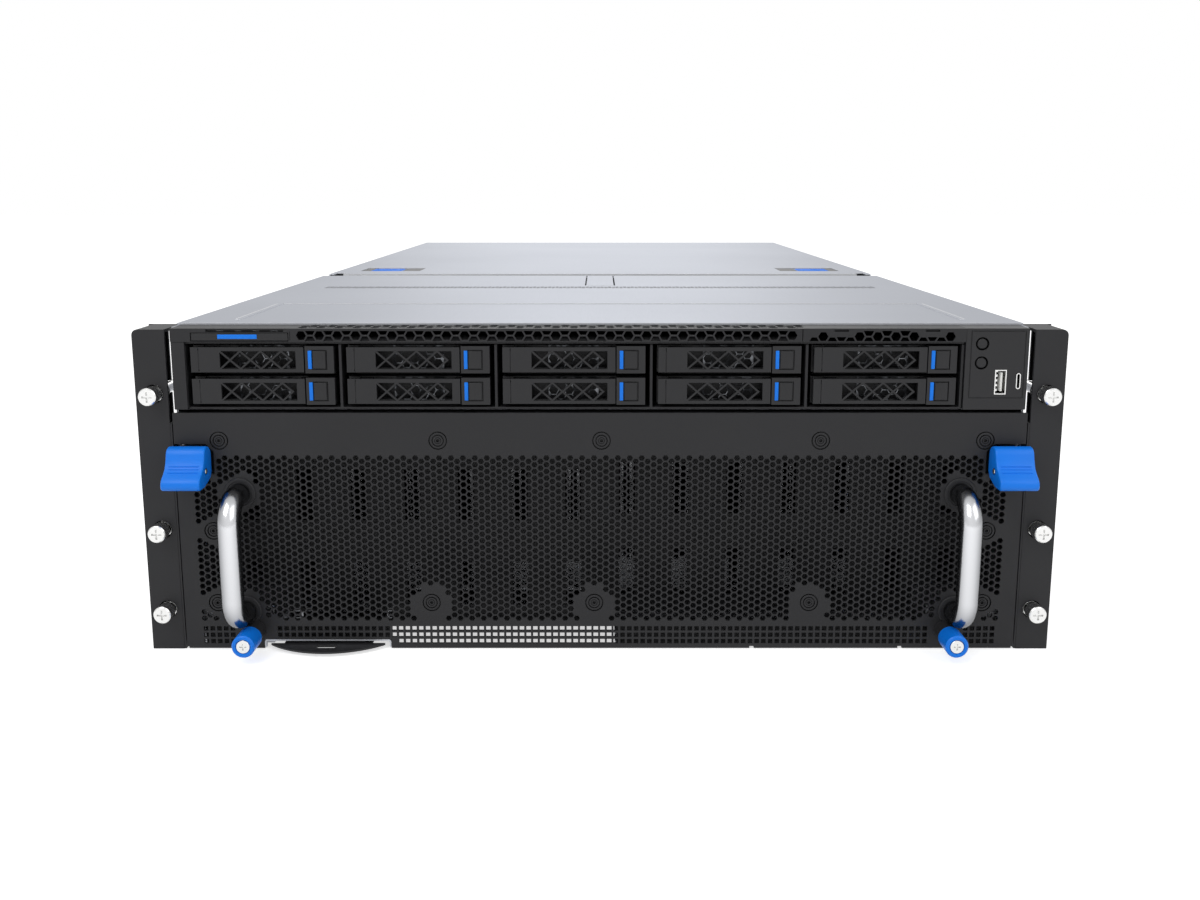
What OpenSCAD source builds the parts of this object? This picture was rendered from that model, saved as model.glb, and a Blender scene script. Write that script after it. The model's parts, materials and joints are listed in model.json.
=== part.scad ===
// Rack-mounted 4U GPU server: a 1U drive and processor level over a 3U GPU module that
// pulls out of the front. X runs to the right, Y to the rear and Z up, in millimetres.
// The front plane of the rack ears is at Y = 0 while the parts are drawn; every part is
// then moved so that the origin is under the middle of the whole server.

/* [Chassis] */
// Width of the chassis between the rack ears
body_w = 447; // [445:0.5:449]
// Height of the chassis, four rack units less the stacking gap
body_h = 175; // [174.4:0.2:176.4]
// Length of the chassis from its front plane to its rear panel
body_l = 898; // [880:2:960]
// Thickness of the chassis sheet metal
sheet_t = 1.2; // [1:0.1:1.4]
// Thickness of the top covers
cover_t = 1.2; // [1:0.1:1.4]
// Gap between parts that slide on each other
slide_gap = 0.3; // [0.2:0.05:0.4]
// Height of the underside of the shelf between the two levels
shelf_z = 130.2; // [129.8:0.2:131]
// Distance from the front plane to the front edge of the chassis tub
tub_front = 8; // [7:0.5:9]

/* [Rack ears] */
// Width of the front plate of a rack ear
ear_w = 16.8; // [16.4:0.1:17.4]
// Height of a rack ear
ear_h = 173.5; // [172:0.5:175]
// Depth of the rack ears, from the front plane to the rack's own posts
ear_depth = 25; // [20:1:30]
// Thickness of the ear metal
ear_t = 1.5; // [1.2:0.1:2]
// Gap between an ear and the GPU module's front panel
ear_gap = 1.0; // [0.8:0.1:1.2]
// Distance from a rack screw to the outer edge of its ear
ear_edge = 9.3; // [8.9:0.1:9.6]
// Radius of the rack screws
rack_screw_r = 3; // [2.5:0.5:3]
// Radius of the rack screws' heads
rack_head_r = 4.6; // [4:0.1:4.8]
// How far the rack screws' heads stand in front of the ears
rack_head_out = 9; // [8:0.5:11]
// Free length of the rack screws behind the ears
rack_screw_free = 12; // [10:1:15]

/* [Drive bays] */
// Number of columns of drive bays
bay_columns = 5; // [5]
// Distance from one column of bays to the next
bay_pitch_x = 80.65; // [80.4:0.05:80.8]
// Distance from one row of bays to the next
bay_pitch_z = 16.6; // [16.4:0.1:16.8]
// Width of a drive tray
tray_w = 74.4; // [74:0.1:75]
// Height of a drive tray
tray_h = 14.2; // [14:0.1:14.4]
// Length of a drive tray
tray_l = 122; // [118:1:126]
// Width of a 2.5 inch drive
drive_w = 69.85; // [69.85]
// Height of a 2.5 inch drive
drive_h = 14.8; // [14.2:0.1:14.8]
// Length of a 2.5 inch drive
drive_l = 100.2; // [100.2]
// Length of the drive cage
cage_l = 150; // [145:1:155]
// Width of the steel frame left of the first bay
cage_side = 6; // [5.6:0.1:6.2]
// Radius of the pivot pin of a tray's latch lever
latch_pin_r = 1; // [0.8:0.1:1.2]

/* [GPU module] */
// Length of the pull-out GPU module
module_l = 560; // [540:5:580]
// Thickness of the module's front panel
panel_t = 1.5; // [1.2:0.1:2]
// Height of the top edge of the module's front panel
panel_top = 129.7; // [129:0.1:129.7]
// Distance between opposite flats of a front panel vent hole
vent_flat = 9.3; // [8.8:0.1:9.5]
// Distance between the centres of neighbouring vent holes
vent_pitch = 10.83; // [10.6:0.01:11]
// Height of the module's floor
module_floor_z = 5; // [4.8:0.1:5.4]
// Distance from the front plane to the air baffle
baffle_y = 40; // [36:1:44]

/* [Carry handles] */
// Distance from the middle of the server to each handle
handle_x = 190; // [188:0.5:191]
// Height of the lower foot of a handle
handle_z = 21.5; // [21:0.5:22]
// Distance between the two feet of a handle
handle_span = 65; // [64:1:66]
// Radius of the handle bar
handle_r = 5.8; // [5.4:0.1:6]
// Reach of the handle bar's centre in front of the panel
handle_reach = 20.5; // [20:0.5:24]
// Radius of the bends of the handle, at the bar's centre
handle_bend_r = 13; // [12:0.5:14]

/* [Thumbscrews and levers] */
// Distance from the middle of the server to each thumbscrew
thumb_x = 185.2; // [184.8:0.2:185.4]
// Height of the thumbscrews
thumb_z = 10.7; // [10.3:0.1:10.8]
// Radius of a thumbscrew's sleeve
thumb_r = 6; // [5.6:0.1:6]
// Reach of a thumbscrew's face in front of the panel
thumb_reach = 24; // [22:0.5:26]
// Radius of a thumbscrew's shaft
thumb_shaft_r = 2.5; // [2:0.1:2.6]
// Width of an ejector lever
lever_w = 20; // [19:0.5:20]
// Height of an ejector lever's hinge pin
lever_pin_z = 101; // [100.5:0.5:101.5]
// Distance of the lever's hinge pin in front of the panel
lever_pin_out = 10; // [9.5:0.5:10.5]
// Radius of the lever's hinge pin
lever_pin_r = 2; // [1.8:0.1:2.2]

/* [Fans] */
// Number of rear fans
fan_count = 5; // [5]
// Width and height of a fan frame
fan_size = 80; // [80]
// Depth of a fan frame
fan_depth = 38; // [32:2:40]
// Distance from one fan to the next
fan_pitch = 88; // [86:0.5:88]
// Radius swept by the fan blades
blade_r = 36.5; // [36:0.1:37]
// Number of blades on a fan
blade_count = 7; // [5:1:9]

/* [Power supplies] */
// Number of power supplies
psu_count = 4; // [4]
// Width of a power supply
psu_w = 73.5; // [72:0.5:74]
// Height of a power supply
psu_h = 40; // [39:0.2:40]
// Length of a power supply's case
psu_l = 250; // [240:2:260]
// Distance from one power supply to the next
psu_pitch = 78; // [77:0.5:80]
// Reach of a power supply's handle behind the rear panel
psu_handle_reach = 28; // [26:1:32]

/* [Boards and heat sinks] */
// Thickness of the circuit boards
board_t = 1.6; // [1.6:0.4:2.4]
// Height of the main board above the shelf's top
board_lift = 4; // [3.5:0.5:5]
// Height of the processors' heat sinks
cpu_sink_h = 26; // [24:1:28]
// Height of a memory module
memory_h = 30; // [28:0.5:31]
// Height of the GPU heat sinks
gpu_sink_h = 88; // [80:1:92]

/* [Hidden] */
$fn = 48;
half_w = body_w / 2;
inner_w = half_w - sheet_t;                 // inside face of the tub's walls
tub_back = body_l - sheet_t;                // front face of the rear panel
wall_top = body_h - cover_t;                // underside of the covers
rack_unit = 44.45;
rack_screw_z = [rack_unit / 2, 1.5 * rack_unit, 3 * rack_unit + 6.35];
ear_in = half_w + ear_gap;                  // inner edge of an ear
ear_out = ear_in + ear_w;                   // 482.6 mm over both ears
rack_screw_x = ear_out - ear_edge;          // 464 mm from screw to screw
rack_shank_r = rack_screw_r - 0.6;          // the screws are captive: thin behind the head
rack_hole_r = rack_head_r + 0.4;            // the heads sink into these holes of the ears
ear_corner_r = 3;

// Drive level
level_inset = 1.9;                          // the drive level is a little narrower than the tub
level_w = half_w - level_inset;
cage_z = shelf_z + sheet_t;                 // the cage stands on the shelf
cage_t = 1.2;
cage_front = 2;
bay_x0 = -level_w + cage_side + 3.4;        // left edge of the first tray
bay_z0 = cage_z + 2.5;                      // bottom of the lower row of trays
divider_t = 1.5;
bay_gap = bay_pitch_x - tray_w;
cage_top_z = bay_z0 + bay_pitch_z + tray_h + 1.1;
control_x0 = bay_x0 + bay_columns * bay_pitch_x - bay_gap / 2 + divider_t / 2;
bezel_z0 = cage_top_z + cage_t;
bezel_top = body_h - 1;
bezel_depth = 16;                           // the front cover starts behind it
bezel_t = 1.2;
tray_front = 1;                             // tray faces sit this far behind the front plane
tray_face_depth = 13;
latch_face = 0.6;
latch_t = 6;
latch_pivot = [3.4, 3.6];                   // from the tray's left edge and the front plane
latch_edge = 0.5;                           // the lever is this much lower than its tray, each way
latch_end = 58.9;                           // right end of the latch lever on a tray
button_x0 = 60;                             // left edge of the release button block

// GPU module
panel_w = half_w;
panel_z0 = 0.3;
vent_col = vent_pitch * sqrt(3) / 2;
vent_edge = 9.2;                            // solid edge on both sides of the vent field
vent_field_x = half_w - vent_edge;
vent_field_z = [15.8, 108.9];
rail_x = 179.5;                             // inner face of the tub's bottom rails
rail_h = 20;
rail_front = 24;                            // the rails start behind the thumbscrews' ends
module_side = inner_w - 0.5;                // outer face of the module's walls
module_step_x = rail_x - 1;                 // the module's floor is this wide each way
module_step_z = rail_h + slide_gap;
module_wall_top = panel_top - 1.7;
floor_slot_x = [-178, 8];                   // both floors are cut away here behind the panel
floor_slot_y = 42;
lever_x0 = half_w - lever_w;
lever_notch_z = [90, 119];
boss_l = 9.5;                               // bosses behind the thumbscrews' sleeves
boss_r = 5.2;
nut_float = 0.7;                            // the nut plates leave this much round the screws

// Rear
rear_free = 1.5;
psu_z0 = sheet_t + slide_gap;
psu_roof_z = psu_z0 + psu_h + 0.9;
psu_front = tub_back - psu_l;
fan_z = psu_roof_z + sheet_t + fan_size / 2;
fan_back = tub_back - 4;
fan_bore_r = blade_r + 1;
fan_hub_r = 19;
fan_shaft_r = 2.5;
shaft_gap = 0.05;                           // running clearance of a shaft in its bore

// Top covers
seam_y = 360;
front_cover_y0 = bezel_depth + 0.2;
cover_slide = 15;                           // the rear cover slides back this far to come free

// The origin is under the middle of the whole server
front_reach = max(handle_reach + handle_r, thumb_reach);
rear_reach = body_l + psu_handle_reach;
origin_y = (rear_reach - front_reach) / 2;

drive_count = 2 * bay_columns;

// ---- Shared shapes ----

// Moves what is drawn from the front plane to the server's own origin
module placed() {
    translate([0, -origin_y, 0]) children();
}

// A block between two values on each axis
module block(x, y, z) {
    translate([x[0], y[0], z[0]]) cube([x[1] - x[0], y[1] - y[0], z[1] - z[0]]);
}

// A flat outline drawn in X and Z, as thick as y spans
module along_y(y) {
    translate([0, y[1], 0]) rotate([90, 0, 0]) linear_extrude(y[1] - y[0]) children();
}

// A flat outline drawn in Y and Z, as thick as x spans
module along_x(x) {
    translate([x[0], 0, 0]) rotate([90, 0, 90]) linear_extrude(x[1] - x[0]) children();
}

// A rectangle between two values on each axis
module sheet(a, b) {
    translate([a[0], b[0]]) square([a[1] - a[0], b[1] - b[0]]);
}

// A round rod along Y, at x and z
module rod_y(x, y, z, r) {
    translate([x, y[1], z]) rotate([90, 0, 0]) cylinder(h = y[1] - y[0], r = r);
}

// A round rod along X, at y and z
module rod_x(x, y, z, r) {
    translate([x[0], y, z]) rotate([0, 90, 0]) cylinder(h = x[1] - x[0], r = r);
}

module both_sides() {
    children();
    mirror([1, 0, 0]) children();
}

// A six-sided hole with points to the left and right
module hex_hole(flat) {
    circle(r = flat / sqrt(3), $fn = 6);
}

function near(p, c, rx, rz) = abs(p[0] - c[0]) < rx && abs(p[1] - c[1]) < rz;

// ---- Chassis ----

module chassis_tub() {
    color("silver") difference() {
        union() {
            along_y([tub_front, tub_back]) both_sides() union() {
                sheet([-1, half_w], [0, sheet_t]);
                sheet([inner_w, half_w], [0, wall_top]);
            }
            // Bottom rails that the GPU module runs on
            along_y([rail_front, tub_front + module_l]) both_sides() union() {
                sheet([rail_x, rail_x + sheet_t], [0, rail_h]);
                sheet([rail_x, half_w - sheet_t / 2], [rail_h - sheet_t, rail_h]);
            }
        }
        block(floor_slot_x, [0, floor_slot_y], [-1, sheet_t + 1]);
        for (y = side_hole_y)
            rod_x([-half_w - 1, half_w + 1], y, side_hole_z, side_hole_r);
    }
    color("silver") both_sides() nut_plate();
}

// Plate in front of a rail that holds a thumbscrew's nut in its square hole
module nut_plate() {
    hole = thumb_shaft_r + nut_float;
    difference() {
        block([rail_x + 0.4, inner_w - 0.2], [tub_front, tub_front + 3],
              [sheet_t + 0.2, rail_h]);
        block([thumb_x - hole, thumb_x + hole], [0, tub_front + 4],
              [thumb_z - hole, thumb_z + hole]);
    }
}
side_hole_y = [160, 700];
side_hole_z = 66;
side_hole_r = 2.1;

module mid_shelf() {
    color("silver") difference() {
        union() {
            block([-inner_w, inner_w], [tub_front, tub_back], [shelf_z, cage_z]);
            both_sides() block([inner_w - sheet_t, inner_w], [cage_l + 8, tub_back],
                               [shelf_z, cage_z + 12]);
        }
        // Air and cable openings between the levels
        both_sides() for (y = [tub_front + module_l + 20, tub_front + module_l + 110])
            block([60, 190], [y, y + 60], [shelf_z - 1, cage_z + 1]);
    }
}

// Opening of a fan guard: a round hole less its rings and spokes
module guard_hole() {
    difference() {
        circle(r = fan_bore_r);
        for (r = [fan_hub_r - 3, fan_hub_r + 4.5, fan_hub_r + 12]) difference() {
            circle(r = r);
            circle(r = r - 1.6);
        }
        for (a = [45, 135]) rotate(a) square([2 * fan_bore_r + 2, 2], center = true);
    }
}

function fan_x(i) = (i - (fan_count + 1) / 2) * fan_pitch;
function psu_x(i) = (i - (psu_count + 1) / 2) * psu_pitch;

io_z0 = cage_z + board_lift + board_t;      // bottom of the rear connectors
lan_x = [-150, -130];
lan_w = 16;
lan_h = 13.5;
card_slots_x = [-60, 20, 100];
card_slot_w = 60;

module rear_panel() {
    color("silver") {
        difference() {
            along_y([tub_back, body_l]) difference() {
                sheet([-half_w, half_w], [0, wall_top]);
                for (i = [1:fan_count]) translate([fan_x(i), fan_z]) guard_hole();
                for (i = [1:psu_count])
                    sheet([psu_x(i) - psu_w / 2 - slide_gap, psu_x(i) + psu_w / 2 + slide_gap],
                          [psu_z0 - slide_gap, psu_z0 + psu_h + slide_gap]);
                for (x = lan_x)
                    sheet([x - lan_w / 2 - slide_gap, x + lan_w / 2 + slide_gap],
                          [io_z0 - slide_gap, io_z0 + lan_h + slide_gap]);
                // Card slots, and air slots beside the power supplies
                for (x = card_slots_x) for (k = [0:4])
                    sheet([x, x + card_slot_w], [io_z0 + 4 + 6 * k, io_z0 + 7 + 6 * k]);
                both_sides() for (k = [0:6])
                    sheet([168 + 6.5 * k, 171.5 + 6.5 * k], [8, 36]);
            }
        }
        // Roof and partitions of the power supply bays
        block([-inner_w, inner_w], [psu_front, tub_back], [psu_roof_z, psu_roof_z + sheet_t]);
        for (k = [0:psu_count])
            block([(k - psu_count / 2) * psu_pitch - sheet_t / 2,
                   (k - psu_count / 2) * psu_pitch + sheet_t / 2],
                  [psu_front, tub_back], [sheet_t, psu_roof_z]);
    }
}

// ---- Rack ears and their screws ----

// Front outline of an ear, with its upper outer corner rounded
module ear_outline() {
    difference() {
        sheet([ear_in, ear_out], [0, ear_h]);
        difference() {
            sheet([ear_out - ear_corner_r, ear_out + 1], [ear_h - ear_corner_r, ear_h + 1]);
            translate([ear_out - ear_corner_r, ear_h - ear_corner_r]) circle(r = ear_corner_r);
        }
    }
}

module rack_ear() {
    back = [ear_depth - ear_t, ear_depth];
    flange_top = shelf_z - 6;
    difference() {
        union() {
            along_y([0, ear_t]) ear_outline();
            // Return flanges along the outer side and over the top
            along_y([0, ear_depth]) difference() {
                ear_outline();
                translate([-ear_t, -ear_t]) ear_outline();
                sheet([ear_in - 1, ear_out - ear_t], [-1, ear_h - ear_t]);
            }
            // Flange along the tub's side, up to the shelf
            block([half_w, half_w + ear_t], [0.2, ear_depth + 20], [0, flange_top]);
            // Seat on the rack's post: full width below, beside the screw only above
            block([half_w + 0.1, ear_out], back, [rack_head_r, flange_top]);
            block([rack_screw_x - 0.7, ear_out], back, [flange_top - 1, ear_h]);
        }
        for (z = rack_screw_z) {
            rod_y(rack_screw_x, [-1, ear_t + 1], z, rack_hole_r);
            rod_y(rack_screw_x, back + [-1, 1], z, rack_screw_r + slide_gap);
        }
    }
}

module rack_ear_left() {
    color("dimgray") mirror([1, 0, 0]) rack_ear();
}

module rack_ear_right() {
    color("dimgray") rack_ear();
}

module rack_screws() {
    cross_l = rack_head_r + 0.6;
    head_l = 8;
    color("gainsboro") both_sides() for (z = rack_screw_z) difference() {
        union() {
            rod_y(rack_screw_x, [-rack_head_out, -rack_head_out + head_l], z, rack_head_r);
            rod_y(rack_screw_x, [-rack_head_out + head_l - 1, ear_depth + 1], z, rack_shank_r);
            // Collar that keeps the screw in the ear, and its thread behind the ear
            rod_y(rack_screw_x, [ear_depth - ear_t - 3, ear_depth - ear_t], z,
                  rack_screw_r + 1.5);
            rod_y(rack_screw_x, [ear_depth, ear_depth + rack_screw_free], z, rack_screw_r);
        }
        translate([rack_screw_x, -rack_head_out + 1, z]) {
            cube([cross_l, 2.4, 1], center = true);
            cube([1, 2.4, cross_l], center = true);
        }
    }
}

// ---- Drive level, front ----

function column_x(c) = bay_x0 + c * bay_pitch_x;
function row_z(r) = bay_z0 + r * bay_pitch_z;
function divider_x(c) = column_x(c) - bay_gap / 2;

module drive_cage() {
    lip = bay_gap / 2 + 1.7;
    lip_front = 60;
    lip_t = 1.1;
    color("dimgray") union() {
        // Frame that closes the gap left of the first bay
        block([-level_w, divider_x(0) + divider_t / 2], [0.2, cage_front - 0.2],
              [cage_z, cage_top_z + cage_t]);
        along_y([cage_front, cage_l]) {
            sheet([-level_w, control_x0], [cage_z, cage_z + cage_t]);
            sheet([-level_w, -level_w + cage_t], [cage_z, cage_top_z - 0.2]);
            for (c = [0:bay_columns])
                sheet([divider_x(c) - divider_t / 2, divider_x(c) + divider_t / 2],
                      [cage_z, cage_top_z - 0.2]);
        }
        // Top plate, a separate sheet that lies on the dividers
        block([-level_w, control_x0], [cage_front, cage_l], [cage_top_z, cage_top_z + cage_t]);
        // Lips that carry the trays' edges, well behind the trays' faces
        along_y([lip_front, cage_l])
            for (c = [0:bay_columns]) for (r = [0:1]) {
                left = c == 0 ? 0 : lip;
                right = c == bay_columns ? 0 : lip;
                sheet([divider_x(c) - left, divider_x(c) + right],
                      [row_z(r) - slide_gap - lip_t, row_z(r) - slide_gap]);
            }
    }
}

tag_w = 50;
tag_x = [-level_w + 10.8, -level_w + 10.8 + tag_w];
tag_z = [bezel_z0 + 0.6, bezel_z0 + 4.6];
tag_l = 60;
strip_flat = 4.6;
strip_pitch = 5.41;
strip_col = strip_pitch * sqrt(3) / 2;
strip_x = [-154, 103];
strip_z = 170.3;
strip_count = floor((strip_x[1] - strip_x[0]) / strip_col);

module front_bezel() {
    top = [bezel_z0, bezel_top];
    color("dimgray") difference() {
        union() {
            block([-level_w, control_x0], [0, bezel_t], top);
            block([-level_w, control_x0], [0, bezel_depth], [bezel_top - bezel_t, bezel_top]);
            block([-level_w, -level_w + bezel_t], [0, bezel_depth], top);
            block([control_x0 - bezel_t, control_x0], [0, bezel_depth], top);
            // Pocket of the pull-out tag
            block([tag_x[0] - 1.2, tag_x[0] - slide_gap], [0, tag_l + 6],
                  [bezel_z0, tag_z[1] + 1]);
            block([tag_x[1] + slide_gap, tag_x[1] + 1.2], [0, tag_l + 6],
                  [bezel_z0, tag_z[1] + 1]);
        }
        along_y([-1, bezel_t + 1]) {
            sheet([tag_x[0] - slide_gap, tag_x[1] + slide_gap],
                  [tag_z[0] - slide_gap, tag_z[1] + slide_gap]);
            // One full row of hexes, and the half rows above and below it
            intersection() {
                sheet([-level_w, control_x0], [bezel_z0 + 0.3, bezel_top - bezel_t]);
                for (k = [0:strip_count]) translate([strip_x[0] + k * strip_col, strip_z]) {
                    if (k % 2 == 0) hex_hole(strip_flat);
                    else {
                        translate([0, strip_pitch / 2]) hex_hole(strip_flat);
                        translate([0, -strip_pitch / 2]) hex_hole(strip_flat);
                    }
                }
            }
            for (x = [115, 133.7, 143.2, 152.6, 161.9, 180.7])
                translate([x, strip_z - 0.5]) hex_hole(strip_flat);
        }
        // Round air holes in the top flange
        for (k = [0:2:strip_count])
            translate([strip_x[0] + k * strip_col, bezel_depth / 2, bezel_top - 3])
                cylinder(h = 5, r = 2.6, $fn = 6);
    }
}

button_x = level_w - 24.2;
button_z = [cage_z + 34.6, cage_z + 24.6];
button_r = 3.3;
usb_a = [level_w - 16.9, level_w - 10.9, cage_z + 8.1, cage_z + 21];
usb_c = [level_w - 5.8, level_w - 3.5, cage_z + 10.9, cage_z + 19.3];

module control_panel() {
    x = [control_x0 + 0.2, level_w];
    face = 0.6;
    groove = [[x[0] + 2.5, x[1] - 1.8], [cage_z + 6, bezel_top - 1.2]];
    groove_w = 0.5;
    color("dimgray") {
        difference() {
            union() {
                block(x, [face, 22], [cage_z, wall_top - slide_gap]);
                block(x, [face, bezel_depth], [wall_top - 1, bezel_top]);
            }
            for (z = button_z) rod_y(button_x, [-1, 6], z, button_r + 0.15);
            for (z = button_z) rod_y(button_x, [5, 24], z, 2.2);
            block([usb_a[0], usb_a[1]], [-1, 16], [usb_a[2], usb_a[3]]);
            block([usb_c[0], usb_c[1]], [-1, 12], [usb_c[2], usb_c[3]]);
            along_y([-1, face + 0.4]) difference() {
                sheet(groove[0], groove[1]);
                sheet(groove[0] + [groove_w, -groove_w], groove[1] + [groove_w, -groove_w]);
            }
        }
        // Tongue inside the larger socket
        block([(usb_a[0] + usb_a[1]) / 2 - 1, (usb_a[0] + usb_a[1]) / 2 + 1], [6, 16.5],
              [usb_a[2] + 1, usb_a[3] - 1]);
    }
}

module push_button(z) {
    color("dimgray") {
        rod_y(button_x, [0.4, 5 - 1.7], z, button_r);
        rod_y(button_x, [3, 20], z, 2);
    }
}

module id_tag() {
    color("dimgray") {
        block(tag_x, [0.2, 1.8], tag_z);
        block(tag_x, [1.7, tag_l], [tag_z[0], tag_z[0] + 1.2]);
    }
}

// ---- Drive trays ----

// Outline of the air window of a latch lever: crossed bars that end in half a cross,
// and a plain window beyond them
module lattice(x, z) {
    crosses = 3.5;
    bar_t = 1.1;
    end_x = x[1] - 3.2;
    step = (end_x - x[0]) / crosses;
    bar_l = norm([step, z[1] - z[0]]) + bar_t;
    lean = atan2(z[1] - z[0], step);
    difference() {
        sheet(x, z);
        intersection() {
            sheet([x[0], end_x + bar_t / 2], z);
            for (k = [0:ceil(crosses) - 1]) for (s = [-1, 1])
                translate([x[0] + (k + 0.5) * step, (z[0] + z[1]) / 2]) rotate(lean * s)
                    square([bar_l, bar_t], center = true);
        }
    }
}

module drive_tray(i) {
    x = column_x(i % bay_columns);
    z = row_z(floor(i / bay_columns));
    rail = 1.9;
    drive_x = x + (tray_w - drive_w) / 2;
    face_y = [tray_front, tray_front + tray_face_depth];
    lug = 2.2;
    color("dimgray") difference() {
        union() {
            difference() {
                block([x, x + tray_w], face_y, [z, z + tray_h]);
                // Pocket of the latch lever, with lugs above and below its knuckle
                block([x - 1, x + latch_end + 0.6], [0, latch_face + latch_t + 0.6],
                      [z - 1, z + tray_h + 1]);
                // Air window behind the lever
                block([x + 12, x + 57], [2, 20], [z + 2, z + tray_h - 2]);
            }
            for (h = [z, z + tray_h - lug]) {
                translate([x + latch_pivot[0], latch_pivot[1], h]) cylinder(h = lug, r = 2.6);
                block([x + latch_pivot[0] - 2.6, x + latch_pivot[0] + 2.6],
                      [latch_pivot[1], tray_front + 8], [h, h + lug]);
            }
            translate([x + latch_pivot[0], latch_pivot[1], z]) cylinder(h = tray_h, r = latch_pin_r);
            // Side rails and the drive between them
            for (s = [x + 0.1, x + tray_w - rail - 0.1])
                block([s, s + rail], [face_y[1] - 1, tray_l], [z, z + 11.5]);
            block([drive_x - 0.5, drive_x + drive_w + 0.5], [face_y[1] + 2, face_y[1] + 2 + drive_l],
                  [z, z + drive_h - 0.6]);
            block([drive_x, drive_x + drive_w], [face_y[1] + 2, face_y[1] + 2 + drive_l],
                  [z - 0.25, z + drive_h - 0.25]);
        }
        // Groove around the release button
        along_y([0, tray_front + 1]) difference() {
            sheet([x + button_x0 + 2.9, x + button_x0 + 10.9], [z + 1.9, z + 12.3]);
            sheet([x + button_x0 + 3.4, x + button_x0 + 10.4], [z + 2.4, z + 11.8]);
        }
    }
}

module drive_latch(i) {
    x = column_x(i % bay_columns);
    z = row_z(floor(i / bay_columns));
    knuckle = [z + 2.5, z + tray_h - 2.5];
    pivot = [x + latch_pivot[0], latch_pivot[1]];
    color("dimgray") difference() {
        union() {
            block([pivot[0] + 3.4, x + latch_end], [latch_face, latch_face + latch_t],
                  [z + latch_edge, z + tray_h - latch_edge]);
            block([pivot[0], pivot[0] + 4], [latch_face, latch_face + latch_t], knuckle);
            translate([pivot[0], pivot[1], knuckle[0]])
                cylinder(h = knuckle[1] - knuckle[0], r = latch_t / 2);
        }
        translate([pivot[0], pivot[1], z]) cylinder(h = tray_h, r = latch_pin_r + shaft_gap);
        // The lever is thin in front of the air window
        block([x + 13, x + 56], [latch_face + 1.8, 20], [z + 1.5, z + tray_h - 1.5]);
        along_y([0, latch_face + 3]) lattice([x + 15.5, x + 54.7], [z + 2.3, z + 11.6]);
    }
}

// ---- Electronics of the drive level ----

module drive_backplane() {
    color("seagreen") {
        difference() {
            block([-level_w + 2, level_w - 2], [cage_l, cage_l + board_t],
                  [cage_z, cage_top_z + cage_t]);
            for (c = [0:bay_columns - 1]) for (k = [0:4])
                block([column_x(c) + 6 + 13 * k, column_x(c) + 14 + 13 * k],
                      [cage_l - 1, cage_l + 3], [row_z(1) - 3.4, row_z(1) + 1.4]);
        }
        // One connector for each drive
        for (i = [0:drive_count - 1])
            block([column_x(i % bay_columns) + 16, column_x(i % bay_columns) + 58],
                  [tray_l + 2, cage_l], [row_z(floor(i / bay_columns)) + 3,
                                         row_z(floor(i / bay_columns)) + 9]);
    }
}

board_z = cage_z + board_lift;
board_y = [cage_l + 14, body_l - 14];
board_half = inner_w - 10.3;                // half the width of the main board
post_r = 3;
cpu_x = 105;
cpu_y = 470;
cpu_sink = [96, 118];
memory_y = [cpu_y - 6, cpu_y + 127];
memory_pitch = 8.2;
memory_per_side = 4;
memory_x = [for (s = [-1, 1]) for (side = [-1, 1]) for (k = [0:memory_per_side - 1])
    s * cpu_x + side * (cpu_sink[0] / 2 + 8 + k * memory_pitch)];

module motherboard() {
    color("seagreen") {
        block([-board_half, board_half], board_y, [board_z, board_z + board_t]);
        for (x = [-1, 0, 1]) for (y = [board_y[0] + 10, cpu_y, board_y[1] - 12])
            translate([x * (board_half - 12), y, cage_z]) cylinder(h = board_lift, r = post_r);
        // Memory sockets
        for (x = memory_x) difference() {
            block([x - 3, x + 3], [memory_y[0] - 5, memory_y[1] + 5],
                  [board_z + board_t, board_z + board_t + 7]);
            block([x - 0.9, x + 0.9], memory_y + [-0.2, 0.2],
                  [board_z + board_t + 2, board_z + board_t + 8]);
        }
        // Processor sockets
        for (s = [-1, 1]) block([s * cpu_x - 38, s * cpu_x + 38], [cpu_y + 20, cpu_y + 98],
                                [board_z + board_t, board_z + board_t + 5]);
        // Network sockets at the rear
        for (x = lan_x) difference() {
            block([x - lan_w / 2, x + lan_w / 2], [board_y[1] - 12, body_l],
                  [io_z0, io_z0 + lan_h]);
            block([x - 5.9, x + 5.9], [body_l - 12, body_l + 1], [io_z0 + 2.5, io_z0 + 11]);
        }
    }
}

module cpu_heatsinks() {
    z0 = board_z + board_t + 5;
    fin = 0.8;
    fin_pitch = 4;
    count = floor(cpu_sink[0] / fin_pitch);
    color("silver") for (s = [-1, 1]) along_y([cpu_y, cpu_y + cpu_sink[1]]) {
        x0 = s * cpu_x - cpu_sink[0] / 2;
        polygon(concat(
            [[x0 + cpu_sink[0], z0], [x0, z0]],
            [for (k = [0:count - 1]) each [
                [x0 + k * fin_pitch, z0 + (k == 0 ? cpu_sink_h : 4)],
                [x0 + k * fin_pitch, z0 + cpu_sink_h],
                [x0 + k * fin_pitch + fin, z0 + cpu_sink_h],
                [x0 + k * fin_pitch + fin, z0 + 4]]],
            [[x0 + cpu_sink[0], z0 + 4]]));
    }
}

module memory_modules() {
    z0 = board_z + board_t + 2;
    color("darkgreen") for (x = memory_x)
        block([x - 0.7, x + 0.7], memory_y, [z0, z0 + memory_h]);
}

// ---- Top covers ----

latch_recess_x = [half_w - 69.5, half_w - 19];
latch_recess_y = [seam_y + 33, seam_y + 72];
cover_vent_pitch = 9.36;
cover_vent_flat = 7;

module cover_skirts(y) {
    both_sides() block([inner_w - slide_gap - cover_t, inner_w - slide_gap], y,
                       [wall_top - 10, wall_top + cover_t / 2]);
}

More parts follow.
